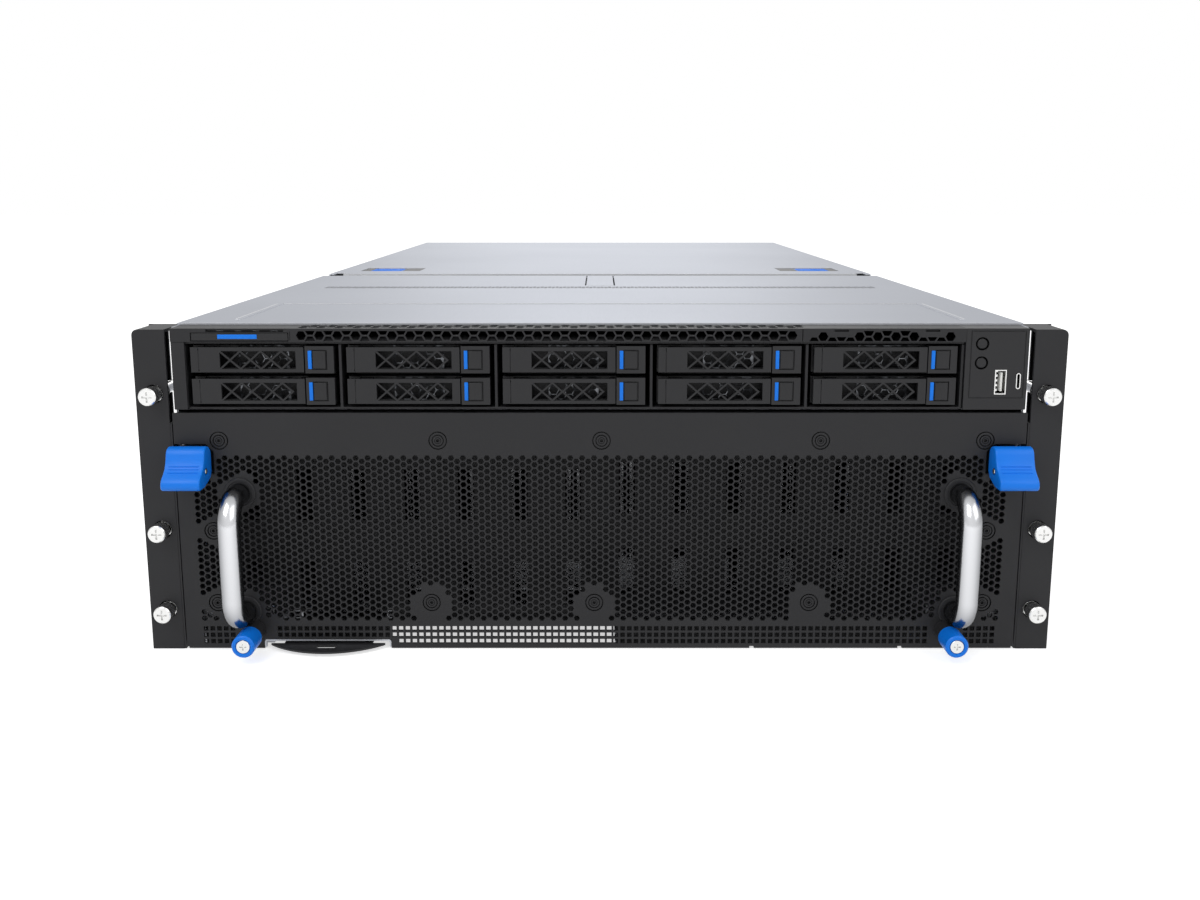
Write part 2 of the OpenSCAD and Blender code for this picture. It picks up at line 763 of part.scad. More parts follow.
module front_cover() {
    panel_x = half_w - 26.5;
    panel_y = [30, 118];
    rib = 3;
    vent_x = -half_w + 31.5;
    vent_y = 229;
    catch_y = [249, 340];
    catch_x = 11;
    color("lightgray") difference() {
        union() {
            block([-half_w, half_w], [front_cover_y0, seam_y], [wall_top, body_h]);
            cover_skirts([cage_l + 8, seam_y]);
            // Pressed frame of the raised panel
            translate([0, 0, body_h - 0.1]) linear_extrude(0.5) difference() {
                sheet([-panel_x, panel_x], panel_y);
                sheet([-panel_x + rib, panel_x - rib], [panel_y[0] - 1, panel_y[1] - rib]);
            }
        }
        // Air holes in two staggered rows
        for (r = [0, 1]) for (k = [0:41])
            translate([vent_x + (k + r / 2) * cover_vent_pitch,
                       vent_y + r * cover_vent_pitch * sqrt(3) / 2, wall_top - 1])
                cylinder(h = cover_t + 2, r = cover_vent_flat / sqrt(3), $fn = 6);
        // Springy tongue of the cover catch, cut free on three sides
        block([-catch_x, catch_x], [catch_y[0], catch_y[0] + 2], [wall_top - 1, body_h + 1]);
        for (x = [-catch_x, catch_x - 1]) block([x, x + 1], catch_y, [wall_top - 1, body_h + 1]);
    }
}

module rear_cover() {
    color("lightgray") difference() {
        union() {
            block([-half_w, half_w], [seam_y + 0.8, body_l], [wall_top, body_h]);
            cover_skirts([seam_y + 6, body_l - cover_slide - 10]);
            // Wells of the slide latches
            both_sides() block([latch_recess_x[0] - 1.2, latch_recess_x[1] + 1.2],
                               latch_recess_y + [-1.2, 1.2], [wall_top - 6, wall_top + 0.5]);
        }
        both_sides() block(latch_recess_x, latch_recess_y, [wall_top - 4.8, body_h + 1]);
        // Notches at the ends of the seam
        both_sides() block([half_w - 11.5, half_w - 4.5], [seam_y, seam_y + 12],
                           [wall_top - 1, body_h + 1]);
    }
}

module cover_latch(side) {
    travel = 12;
    y0 = latch_recess_y[0] + slide_gap;
    y1 = latch_recess_y[1] - travel - slide_gap;
    z0 = wall_top - 4.8 + slide_gap;
    x0 = latch_recess_x[0] + 16;
    x1 = latch_recess_x[1] - 8.5;
    color("dodgerblue") mirror([side < 0 ? 1 : 0, 0, 0]) {
        block([x0, x1], [y0, y1], [z0, z0 + 2.4]);
        block([x0, x1], [y0, y0 + 4], [z0, body_h - 0.4]);
        for (k = [1:4])
            block([x0 + 2, x1 - 2], [y0 + 1 + 5 * k, y0 + 2.6 + 5 * k], [z0, z0 + 3.4]);
    }
}

// ---- Rear fans and power supplies ----

module fan_frames() {
    arm_t = 4;
    color("dimgray") for (i = [1:fan_count]) translate([fan_x(i), 0, fan_z]) {
        difference() {
            along_y([fan_back - fan_depth, fan_back]) difference() {
                square([fan_size, fan_size], center = true);
                circle(r = fan_bore_r);
                for (a = [0:3]) rotate(90 * a) translate([35.75, 35.75]) circle(r = 2.2);
            }
        }
        // Motor carrier and its arms
        difference() {
            union() {
                along_y([fan_back - arm_t, fan_back]) {
                    union() {
                        circle(r = fan_hub_r);
                        for (a = [0:3]) rotate(45 + 90 * a)
                            sheet([0, fan_bore_r + 0.5], [-2.5, 2.5]);
                    }
                }
                rod_y(0, [fan_back - 24, fan_back - arm_t], 0, 6);
            }
            rod_y(0, [fan_back - 30, fan_back + 1], 0, fan_shaft_r + shaft_gap);
        }
    }
}

module fan_rotor(i) {
    hub_y = [fan_back - fan_depth + 3, fan_back - 6];
    tilt = 38;
    color("black") translate([fan_x(i), 0, fan_z]) difference() {
        union() {
            rod_y(0, hub_y, 0, fan_hub_r);
            intersection() {
                rod_y(0, hub_y, 0, blade_r);
                for (k = [0:blade_count - 1]) rotate([0, 360 / blade_count * k, 0])
                    translate([fan_hub_r - 2, (hub_y[0] + hub_y[1]) / 2, 0]) rotate([tilt, 0, 0])
                        translate([0, -20, -1]) cube([blade_r, 40, 2]);
            }
        }
        // The hub is a cup over the motor
        difference() {
            rod_y(0, [hub_y[0] + 3, hub_y[1] + 1], 0, fan_hub_r - 2);
            rod_y(0, [hub_y[0], fan_back], 0, fan_shaft_r);
        }
    }
}

psu_inlet = [27, 19];

module power_supply(i) {
    x = psu_x(i);
    z = [psu_z0, psu_z0 + psu_h];
    inlet_x = x - 16;
    inlet_z = z[0] + 15;
    grip_x = [x + 14, x + 32];
    color("silver") {
        difference() {
            block([x - psu_w / 2, x + psu_w / 2], [psu_front, body_l + 0.5], z);
            along_y([body_l - 16, body_l + 1]) translate([inlet_x, inlet_z])
                square(psu_inlet, center = true);
            // Air slots above the inlet
            for (k = [0:8]) block([x - 33 + 7 * k, x - 29 + 7 * k], [body_l - 3, body_l + 1],
                                  [z[1] - 11, z[1] - 4]);
        }
        // Blades of the inlet
        for (s = [-1, 0, 1]) block([inlet_x + 7 * s - 1, inlet_x + 7 * s + 1],
                                   [body_l - 16.5, body_l - 4],
                                   [inlet_z - 2 - (s == 0 ? 4 : 0), inlet_z + 2 - (s == 0 ? 4 : 0)]);
        // Pull handle
        along_y_handle(grip_x, [z[0] + 5, z[0] + 23]);
    }
}

module along_y_handle(x, z) {
    r = 2.2;
    y1 = body_l + psu_handle_reach;
    for (s = x) rod_y(s, [body_l, y1 - r], z[0], r);
    for (s = x) translate([s, y1 - r, z[0]]) sphere(r = r);
    rod_x(x, y1 - r, z[0], r);
}

// ---- GPU module ----

module module_tray() {
    t = sheet_t;
    outline = [
        [0, module_floor_z], [module_step_x, module_floor_z], [module_step_x, module_step_z],
        [module_side, module_step_z], [module_side, module_wall_top],
        [module_side - t, module_wall_top], [module_side - t, module_step_z + t],
        [module_step_x - t, module_step_z + t], [module_step_x - t, module_floor_z + t],
        [0, module_floor_z + t]];
    color("silver") difference() {
        union() {
            along_y([tub_front, module_l]) union() {
                polygon(outline);
                mirror([1, 0]) polygon(outline);
            }
            block([-module_side, module_side], [module_l - t, module_l],
                  [module_step_z, module_step_z + 30]);
            block([-module_step_x, module_step_x], [module_l - t, module_l],
                  [module_floor_z, module_step_z + 30]);
            // Guides of the information tab under the floor
            for (x = [tongue_x[0] - slide_gap - 1.2, tongue_x[1] + slide_gap])
                block([x, x + 1.2], [floor_slot_y, tab_l + 8], [1.6, module_floor_z + 0.2]);
        }
        block(floor_slot_x + [-1, 0], [0, floor_slot_y], [0, module_floor_z + t + 1]);
    }
}

solid_zones = concat(
    [for (x = [-90.3, -3.1, 112.1]) [x, 25, 13.5, 13]],
    [for (s = [-1, 1]) for (z = [handle_z, handle_z + handle_span])
        [s * handle_x, z, handle_r + 9.5, handle_r + 8.5]],
    [for (s = [-1, 1]) [s * 205, 66, 10, 9]],
    [for (s = [-1, 1]) [s * 212, 100, 16, 15]]);
function is_open(p) = len([for (c = solid_zones) if (near(p, c, c[2], c[3])) 1]) == 0;
vent_cols = floor((2 * vent_field_x - vent_flat) / vent_col);
vent_rows = floor((vent_field_z[1] - vent_field_z[0] - vent_flat / 2) / vent_pitch);
vent_start = [-vent_cols * vent_col / 2, vent_field_z[0] + vent_flat / 2];
vent_points = [
    for (c = [0:vent_cols]) for (r = [0:vent_rows - 1])
        let (p = [vent_start[0] + c * vent_col,
                  vent_start[1] + r * vent_pitch + (c % 2) * vent_pitch / 2])
        if (is_open(p)) p];

tab_x = [-177.6, -116];
tab_z = [1.8, 3];
tab_l = 70;
tongue_x = [tab_x[0] + 7, tab_x[1] - 7];    // the tab is narrower behind its front part
mesh_pitch = 7.2;
mesh_hole = 5.6;
mesh_x = [-205, 205];
mesh_z = 8;
mesh_zone = 20;                             // no mesh within this distance of a thumbscrew
panel_screws = concat(
    [for (x = [-199.4, -84.9, 0.8, 115.5, 201.6]) [x, 115]],
    [for (x = [-90.3, -3.1, 112.1]) [x, 26.1]],
    [for (s = [-1, 1]) for (z = [26, 66]) [s * 205, z]]);

module module_front_panel() {
    color("dimgray") {
        difference() {
            union() {
                along_y([0, panel_t]) difference() {
                    sheet([-panel_w, panel_w], [panel_z0, panel_top]);
                    for (p = vent_points) translate(p) hex_hole(vent_flat);
                    for (k = [0:floor((mesh_x[1] - mesh_x[0]) / mesh_pitch)])
                        if (abs(abs(mesh_x[0] + k * mesh_pitch) - thumb_x) > mesh_zone - 6
                            && (mesh_x[0] + k * mesh_pitch < tab_x[0] - 5
                                || mesh_x[0] + k * mesh_pitch > tab_x[1] + 6))
                            translate([mesh_x[0] + k * mesh_pitch, mesh_z])
                                square(mesh_hole, center = true);
                    // Cut-out of the information tab, and notches of the levers
                    sheet([tab_x[0] - 3.4, tab_x[1] + 3.4], [0, 5.3]);
                    both_sides() sheet([lever_x0 - 0.5, half_w + 1], lever_notch_z);
                }
                // Flanges that join the panel to the module's tray
                block([-module_side, module_side], [panel_t - 0.2, tub_front + 8],
                      [module_wall_top, module_wall_top + 1.2]);
                both_sides() block([module_side - 2.4, module_side - 1.2],
                                   [panel_t - 0.2, tub_front + 12], [26, 86]);
                // Bosses of the thumbscrews
                both_sides() rod_y(thumb_x, [-boss_l, 0.5], thumb_z, boss_r);
                both_sides() lever_bracket();
            }
            both_sides() rod_y(thumb_x, [-12, panel_t + 1], thumb_z,
                               thumb_shaft_r + shaft_gap);
            for (s = panel_screws) along_y([-1, 0.4]) translate(s) difference() {
                circle(r = 4.8);
                circle(r = 4.1);
            }
        }
    }
}

// Bracket and hinge pin of an ejector lever
module lever_bracket() {
    x = [lever_x0 + 8.5, lever_x0 + 11.5];
    block(x, [panel_t - 0.2, tub_front - 1], [lever_notch_z[0] - 3, lever_notch_z[1] + 3]);
    block(x, [-lever_pin_out, tub_front - 1], [lever_pin_z - 4.5, lever_pin_z + 4.5]);
    rod_x(x, -lever_pin_out, lever_pin_z, 4.5);
    rod_x([lever_x0 + 0.3, half_w - 0.3], -lever_pin_out, lever_pin_z, lever_pin_r);
}

// Side view of an ejector lever: flat back, round top and a hollow front above the lip
module lever_outline(grow) {
    offset_z = lever_pin_z - 101;
    translate([grow, offset_z]) polygon(concat(
        [[-1, 99], [-3.5, 95.5], [-13, 92.6], [-21.8, 92.9], [-21.8, 95.2]],
        [for (a = [0:15:90]) [-21.8 + 5.2 * sin(a) - 0.4 * (1 - cos(a)), 95.2 + 10 * (1 - cos(a))]],
        [for (a = [0:15:90]) [-17 + 9 * (1 - cos(a)) , 108 + 6.8 * sin(a)]],
        [[-3, 114.6], [-1, 112.5]]));
}

module module_lever() {
    wall = 2.2;
    color("dodgerblue") difference() {
        along_x([lever_x0, half_w]) lever_outline(0);
        // The inside is open at the back
        along_x([lever_x0 + wall, half_w - wall]) intersection() {
            lever_outline(3.2);
            sheet([-30, 0], [96.5 + lever_pin_z - 101, 112 + lever_pin_z - 101]);
        }
        block([lever_x0 + wall, half_w - wall], [-8, 0], [90, 113]);
        block([lever_x0 + wall, half_w - wall], [-lever_pin_out - 5.2, 0],
              [lever_pin_z - 5.5, lever_pin_z + 8]);
        block([lever_x0 + 7.5, lever_x0 + 12.5], [-lever_pin_out + 1, 3], [90, 118]);
        rod_x([lever_x0 - 1, half_w + 1], -lever_pin_out, lever_pin_z, lever_pin_r + shaft_gap);
    }
}

module thumbscrew() {
    color("dodgerblue") difference() {
        union() {
            rod_y(thumb_x, [-thumb_reach, -boss_l - slide_gap], thumb_z, thumb_r);
            rod_y(thumb_x, [-boss_l - 2, tub_front + 4], thumb_z, thumb_shaft_r);
        }
        rod_y(thumb_x, [-thumb_reach - 1, -thumb_reach + 0.8], thumb_z, 3.8);
    }
}

module carry_handle() {
    z = [handle_z, handle_z + handle_span];
    straight = handle_reach - handle_bend_r;
    translate([handle_x, 0, 0]) {
        for (h = z) rod_y(0, [-straight, 0], h, handle_r);
        for (h = z) rod_y(0, [-1.2, 0], h, handle_r + 0.6);
        translate([0, -handle_reach, z[0] + handle_bend_r])
            cylinder(h = handle_span - 2 * handle_bend_r, r = handle_r);
        rotate([90, 0, 90]) {
            translate([-straight, z[1] - handle_bend_r]) rotate(90)
                rotate_extrude(angle = 90) translate([handle_bend_r, 0]) circle(r = handle_r);
            translate([-straight, z[0] + handle_bend_r]) rotate(180)
                rotate_extrude(angle = 90) translate([handle_bend_r, 0]) circle(r = handle_r);
        }
    }
}

module carry_handles() {
    color("white") both_sides() carry_handle();
}

module info_tab() {
    middle = (tab_x[0] + tab_x[1]) / 2;
    half = (tab_x[1] - tab_x[0]) / 2;
    reach = 12;
    arc_r = (half * half + reach * reach) / (2 * reach);
    color("dimgray") translate([0, 0, tab_z[0]]) linear_extrude(tab_z[1] - tab_z[0])
        difference() {
            union() {
                intersection() {
                    translate([middle, arc_r - reach]) circle(r = arc_r, $fn = 96);
                    sheet([middle - half, middle + half], [-reach - 1, 0.5]);
                }
                sheet(tongue_x, [0, tab_l]);
            }
            translate([middle, -4.5]) {
                sheet([-4, 4], [-1.5, 1.5]);
                for (s = [-1, 1]) translate([4 * s, 0]) circle(r = 1.5);
            }
        }
}

module air_baffle() {
    pitch = 30.2;
    z_low = module_step_z + sheet_t;
    color("dimgray") along_y([baffle_y, baffle_y + sheet_t]) difference() {
        union() {
            sheet([-module_side + sheet_t, module_side - sheet_t], [z_low, module_wall_top]);
            sheet([-module_step_x + sheet_t, module_step_x - sheet_t],
                  [module_floor_z + sheet_t, z_low + 1]);
        }
        for (k = [0:13]) let (x = (k - 6.5) * pitch, lift = x < 0 ? 0 : 4) {
            sheet([x - 4.5, x + 4.5], [60 + lift, 89.5 + lift]);
            sheet([x - 4.5, x + 4.5], [abs(x) < 170 ? 8 + 2 * lift : z_low + 2, 35.5 + 2 * lift]);
        }
    }
}

gpu_post_h = 5;
gpu_board_z = module_floor_z + sheet_t + gpu_post_h;
gpu_board_half = module_step_x - 8.5;
gpu_sink = [76, 118];                       // width and length of a GPU heat sink
gpu_pitch_x = 82;
gpu_rows_y = [90, 330];
pad_t = 0.2;                                // thermal pads under the GPU heat sinks

module gpu_board() {
    board_y = [baffle_y + 20, module_l - 20];
    z0 = gpu_board_z + board_t;
    fin = 1.2;
    fin_pitch = 5;
    base_t = 8;
    count = floor((gpu_sink[0] - fin) / fin_pitch);
    color("seagreen") {
        block([-gpu_board_half, gpu_board_half], board_y, [gpu_board_z, z0]);
        for (x = [-1, 0, 1]) for (y = [board_y[0] + 10, module_l / 2, board_y[1] - 10])
            translate([x * (gpu_board_half - 10), y, module_floor_z + sheet_t])
                cylinder(h = gpu_post_h, r = post_r);
    }
    color("silver") for (cx = [-1.5:1:1.5]) for (y = gpu_rows_y)
        along_y([y, y + gpu_sink[1]]) translate([cx * gpu_pitch_x - gpu_sink[0] / 2, z0 + pad_t])
            polygon(concat(
                [[gpu_sink[0], 0], [0, 0]],
                [for (k = [0:count]) each [
                    [k * fin_pitch, k == 0 ? gpu_sink_h : base_t],
                    [k * fin_pitch, gpu_sink_h],
                    [k * fin_pitch + fin, gpu_sink_h],
                    [k * fin_pitch + fin, base_t]]],
                [[gpu_sink[0], base_t]]));
}

// ---- The parts, each by its name ----

placed() {
    chassis_tub();
    mid_shelf();
    rear_panel();
    rack_ear_left();
    rack_ear_right();
    rack_screws();
    drive_cage();
    front_bezel();
    control_panel();
    push_button(button_z[0]);  // power_button
    push_button(button_z[1]);  // id_button
    id_tag();
    info_tab();
    front_cover();
    rear_cover();
    cover_latch(-1);  // cover_latch_left
    cover_latch(1);  // cover_latch_right
    motherboard();
    cpu_heatsinks();
    memory_modules();
    drive_backplane();
    fan_frames();
    for (i = [1:fan_count])
        fan_rotor(i);
    for (i = [1:psu_count])
        power_supply(i);
    for (i = [1:drive_count])
        drive_tray(i - 1);
    for (i = [1:drive_count])
        drive_latch(i - 1);
    module_tray();
    module_front_panel();
    carry_handles();
    mirror([1, 0, 0]) module_lever();  // module_lever_left
    module_lever();  // module_lever_right
    mirror([1, 0, 0]) thumbscrew();  // thumbscrew_left
    thumbscrew();  // thumbscrew_right
    gpu_board();
    air_baffle();
}
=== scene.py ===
"""Looks of a 4U GPU server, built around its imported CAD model."""

import json
import math
from contextlib import contextmanager

import bmesh
import bpy
from mathutils import Matrix, Vector

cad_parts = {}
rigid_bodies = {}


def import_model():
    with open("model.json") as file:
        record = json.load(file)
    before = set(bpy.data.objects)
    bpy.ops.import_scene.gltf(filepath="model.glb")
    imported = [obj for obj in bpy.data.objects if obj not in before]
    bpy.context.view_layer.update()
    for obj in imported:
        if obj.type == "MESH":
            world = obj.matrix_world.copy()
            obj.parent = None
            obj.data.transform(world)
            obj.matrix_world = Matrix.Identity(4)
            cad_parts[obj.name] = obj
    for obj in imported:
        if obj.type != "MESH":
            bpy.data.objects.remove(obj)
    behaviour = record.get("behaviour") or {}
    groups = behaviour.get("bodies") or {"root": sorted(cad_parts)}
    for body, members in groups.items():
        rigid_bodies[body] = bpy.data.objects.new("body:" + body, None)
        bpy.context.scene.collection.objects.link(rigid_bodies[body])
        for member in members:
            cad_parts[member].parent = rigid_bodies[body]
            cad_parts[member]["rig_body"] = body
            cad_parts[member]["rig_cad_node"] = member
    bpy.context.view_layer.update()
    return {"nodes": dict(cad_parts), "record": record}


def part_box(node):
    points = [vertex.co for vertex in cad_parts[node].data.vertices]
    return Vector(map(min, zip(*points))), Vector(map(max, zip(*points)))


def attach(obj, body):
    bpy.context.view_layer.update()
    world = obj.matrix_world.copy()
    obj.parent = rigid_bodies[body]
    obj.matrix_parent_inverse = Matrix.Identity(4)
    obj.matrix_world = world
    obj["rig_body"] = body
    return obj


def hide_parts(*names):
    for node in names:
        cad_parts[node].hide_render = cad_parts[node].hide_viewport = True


bl_info = {
    "name": "GPU server looks",
    "version": (1, 0, 0),
    "blender": (4, 5, 0),
    "location": "View3D > Sidebar > Server",
    "description": "Dresses the packed model of a 4U GPU server with its finishes and fine pieces",
    "category": "Object",
}

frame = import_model()
MM = 0.001

# The front plane of the rack ears
FRONT_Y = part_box("rack_ear_left")[0][1]


def at(x, y, z):
    """A place in metres from millimetres right of the middle, behind the front plane and up."""
    return Vector((x * MM, FRONT_Y + y * MM, z * MM))


def span(node, axis):
    """Where a CAD node starts and ends on axis x, y or z, in mm from the front plane."""
    index = "xyz".index(axis)
    origin = FRONT_Y if axis == "y" else 0.0
    return [(corner[index] - origin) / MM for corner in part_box(node)]


def front_middle(node):
    """The middle of a CAD node as the front shows it, on the front plane."""
    low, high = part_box(node)
    return Vector(((low.x + high.x) / 2, FRONT_Y, (low.z + high.z) / 2))


# ---- Small tools for modelling with operators ----


def select_only(*objects):
    """Deselects everything, then selects these and makes the first one active."""
    for other in bpy.context.view_layer.objects:
        other.select_set(False)
    for obj in objects:
        obj.select_set(True)
    bpy.context.view_layer.objects.active = objects[0]


def apply_place(obj):
    """Puts the object's place, turn and scale into its mesh."""
    select_only(obj)
    bpy.ops.object.transform_apply(location=True, rotation=True, scale=True)


def place_at(obj, place, axis):
    """Turns an object from the Z axis to another axis and puts it at a place."""
    obj.matrix_world = Matrix.Translation(place) @ TURNS[axis]
    apply_place(obj)


def apply_modifier(obj, modifier):
    """Applies a modifier of an object."""
    select_only(obj)
    bpy.ops.object.modifier_apply(modifier=modifier.name)


@contextmanager
def editing(obj):
    """Edit mode of an object with everything in it selected, and object mode afterwards."""
    select_only(obj)
    bpy.ops.object.mode_set(mode="EDIT")
    bpy.ops.mesh.select_all(action="SELECT")
    yield
    bpy.ops.object.mode_set(mode="OBJECT")


def extrude(x, y, z):
    """Extrudes what is selected in edit mode by x, y and z mm."""
    bpy.ops.mesh.extrude_region_move(TRANSFORM_OT_translate={"value": (x * MM, y * MM, z * MM)})


def face_outwards():
    """Turns all faces outwards in edit mode."""
    bpy.ops.mesh.select_all(action="SELECT")
    bpy.ops.mesh.normals_make_consistent(inside=False)


def merge_points(obj, distance=0.00001):
    """Merges doubled points and turns all faces outwards."""
    with editing(obj):
        bpy.ops.mesh.remove_doubles(threshold=distance)
        face_outwards()


def round_edges(obj, width, segments=2, angle=30.0):
    """Rounds the sharp edges by width mm with a Bevel modifier and applies it."""
    bevel = obj.modifiers.new("Rounding", "BEVEL")
    bevel.width = width * MM
    bevel.segments = segments
    bevel.limit_method = "ANGLE"
    bevel.angle_limit = math.radians(angle)
    bevel.use_clamp_overlap = True
    apply_modifier(obj, bevel)


def finish_piece(obj, name, body, slot, finish=None, smooth=35.0):
    """Names a piece, gives it its slot's finish or another one, and lets it ride on its body."""
    obj.name = name
    obj.data.name = name
    obj.data.materials.clear()
    obj.data.materials.append(finish_of(finish or slot))
    apply_place(obj)
    bpy.ops.object.shade_smooth_by_angle(angle=math.radians(smooth))
    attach(obj, body)
    return obj


def join(parts):
    """Joins several objects into the first one."""
    select_only(*parts)
    if len(parts) > 1:
        bpy.ops.object.join()
    return bpy.context.view_layer.objects.active


def add_block(low, high, width=0.0, segments=2):
    """A block between two corners, with its edges rounded by width mm."""
    middle = (low + high) / 2
    bpy.ops.mesh.primitive_cube_add(size=1.0, location=middle, scale=high - low)
    obj = bpy.context.active_object
    apply_place(obj)
    if width:
        round_edges(obj, width, segments)
    return obj


TURNS = {
    "-Y": Matrix.Rotation(math.radians(90), 4, "X"),
    "+Z": Matrix.Identity(4),
    "+X": Matrix.Rotation(math.radians(90), 4, "Y"),
    "-X": Matrix.Rotation(math.radians(-90), 4, "Y"),
}


def add_turned(profile, place, axis="-Y", sides=32, closed=True):
    """A turned piece: rings of the profile's radii and heights in mm, along the axis from place."""
    first_radius, first_height = profile[0]
    bpy.ops.mesh.primitive_circle_add(
        vertices=sides, radius=first_radius * MM, location=(0, 0, first_height * MM),
        fill_type="NGON" if closed else "NOTHING")
    obj = bpy.context.active_object
    apply_place(obj)
    with editing(obj):
        for (radius, height), (next_radius, next_height) in zip(profile, profile[1:]):
            extrude(0, 0, next_height - height)
            scale = next_radius / radius
            bpy.ops.transform.resize(value=(scale, scale, 1),
                                     center_override=(0, 0, next_height * MM))
        face_outwards()
    place_at(obj, place, axis)
    return obj


def add_outline(points):
    """A closed flat line through points given in mm, in local X and Y."""
    bpy.ops.mesh.primitive_circle_add(vertices=len(points), radius=1.0, fill_type="NOTHING")
    obj = bpy.context.active_object
    for vertex, (x, y) in zip(obj.data.vertices, points):
        vertex.co = (x * MM, y * MM, 0)
    return obj


def rectangle(x0, x1, y0, y1):
    """Corner points of a rectangle."""
    return [(x0, y0), (x1, y0), (x1, y1), (x0, y1)]


def circle(x, z, radius, sides=36):
    """Corner points of a circle."""
    return [(x + radius * math.cos(math.tau * k / sides),
             z + radius * math.sin(math.tau * k / sides)) for k in range(sides)]


def hexagon(flat, x, z):
    """Corner points of a hexagon flat mm high, with points to the left and right."""
    return circle(x, z, flat / math.sqrt(3), sides=6)


def plate_from(outlines, thickness, back=0.0, chamfer=0.0, top=None):
    """A plate that faces the front, or up where its top is given: closed flat lines are filled
    between, and made thick.

    The lines lie in local X and Y, which become X and Z, or X and Y from the front plane;
    back is how far the back face lies behind that plane, and all sizes are in mm."""
    thickness, chamfer = thickness * MM, chamfer * MM
    obj = join(outlines)
    select_only(obj)
    bpy.ops.object.convert(target="CURVE")
    obj = bpy.context.active_object
    curve = obj.data
    curve.dimensions = "2D"
    curve.fill_mode = "BOTH"
    curve.extrude = thickness / 2 - chamfer
    curve.bevel_depth = chamfer
    curve.bevel_resolution = 0
    curve.offset = -chamfer
    bpy.ops.object.convert(target="MESH")
    obj = bpy.context.active_object
    if top is None:
        middle = FRONT_Y + back * MM - thickness / 2
        obj.matrix_world = Matrix.Translation((0, middle, 0)) @ TURNS["-Y"]
    else:
        obj.matrix_world = Matrix.Translation((0, FRONT_Y, top * MM - thickness / 2))
    apply_place(obj)
    merge_points(obj)
    return obj


def bar_across(outline, x0, x1, width=0.0, segments=2, angle=30.0):
    """A bar across the server from x0 to x1, with its side outline in mm back and up."""
    obj = add_outline(outline)
    with editing(obj):
        bpy.ops.mesh.edge_face_add()
        extrude(0, 0, x1 - x0)
        face_outwards()
    obj.matrix_world = Matrix((
        (0, 0, 1, x0 * MM), (1, 0, 0, FRONT_Y), (0, 1, 0, 0), (0, 0, 0, 1)))
    apply_place(obj)
    if width:
        round_edges(obj, width, segments, angle)
    return obj


def cut(obj, tools):
    """Cuts closed shapes out of an object and deletes them."""
    for tool in tools:
        difference = obj.modifiers.new("Cut", "BOOLEAN")
        difference.operation = "DIFFERENCE"
        difference.object = tool
        difference.solver = "EXACT"
        apply_modifier(obj, difference)
    select_only(*tools)
    bpy.ops.object.delete()


def repeat(obj, count, step):
    """Repeats an object count times at a step in mm, with an applied Array modifier."""
    array = obj.modifiers.new("Repeat", "ARRAY")
    array.use_relative_offset = False
    array.use_constant_offset = True
    array.constant_offset_displace = [distance * MM for distance in step]
    array.count = count
    apply_modifier(obj, array)


# ---- Materials ----


def linear(hex_colour):
    """A linear RGBA colour from an sRGB hex value."""
    values = [int(hex_colour[i:i + 2], 16) / 255 for i in (1, 3, 5)]
    return (*(v / 12.92 if v <= 0.04045 else ((v + 0.055) / 1.055) ** 2.4 for v in values), 1.0)


def feed(node, socket, source):
    """Feeds a socket of a node from another node's output."""
    node.id_data.links.new(source, node.inputs[socket])


def add_node(owner, kind, settings=None, inputs=None, links=None):
    """Adds a node, with its settings, its socket values and what its sockets are fed from."""
    made = owner.node_tree.nodes.new(kind)
    for key, value in (settings or {}).items():
        setattr(made, key, value)
    for key, value in (inputs or {}).items():
        made.inputs[key].default_value = value
    for key, source in (links or {}).items():
        feed(made, key, source)
    return made


def add_noise(material, coordinates, scale, detail):
    """The value of soft noise, with scale grains on a metre."""
    noise = add_node(material, "ShaderNodeTexNoise", None, {"Scale": scale, "Detail": detail},
                     {"Vector": coordinates})
    return noise.outputs["Fac"]


def mix_colours(material, shader, first, second, share):
    """Takes the base colour from the first colour to the second as the share grows."""
    mix = add_node(material, "ShaderNodeMix", {"data_type": "RGBA"},
                   {6: linear(first), 7: linear(second)}, {0: share})
    feed(shader, "Base Color", mix.outputs[2])


def new_material(name, colour, roughness, metallic=0.0, **extra):
    """A material with a Principled shader; returns it, its shader and Object coordinates."""
    material = bpy.data.materials.new(name)
    material.use_nodes = True
    shader = material.node_tree.nodes["Principled BSDF"]
    shader.inputs["Base Color"].default_value = linear(colour)
    shader.inputs["Roughness"].default_value = roughness
    shader.inputs["Metallic"].default_value = metallic
    for key, value in extra.items():
        shader.inputs[key.replace("_", " ")].default_value = value
    coordinates = add_node(material, "ShaderNodeTexCoord").outputs["Object"]
    return material, shader, coordinates


def colour_drift(material, shader, coordinates, dark, light, size_mm):
    """Lets the base colour drift softly between two colours over size_mm."""
    mix_colours(material, shader, dark, light,
                add_noise(material, coordinates, 1000.0 / size_mm, 2.0))


def surface_grain(material, shader, coordinates, size_mm, strength, roughness_range=None):
    """A fine bump of grains size_mm across, which may also vary the roughness."""
    noise = add_noise(material, coordinates, 1000.0 / size_mm, 3.0)
    bump = add_node(material, "ShaderNodeBump", None,
                    {"Strength": strength, "Distance": size_mm * MM * 0.3}, {"Height": noise})
    feed(shader, "Normal", bump.outputs["Normal"])
    if roughness_range:
        spread = add_node(material, "ShaderNodeMapRange", None,
                          {"To Min": roughness_range[0], "To Max": roughness_range[1]},
                          {"Value": noise})
        feed(shader, "Roughness", spread.outputs["Result"])


def black_powder_coat():
    """Polyester powder on steel: matt black with an orange-peel grain of about 0.5 mm."""
    material, shader, place = new_material("black_powder_coat", "#262628", 0.5,
                                           Specular_IOR_Level=0.25)
    colour_drift(material, shader, place, "#232325", "#29292B", 60)
    surface_grain(material, shader, place, 0.5, 0.25, (0.42, 0.58))
    return material


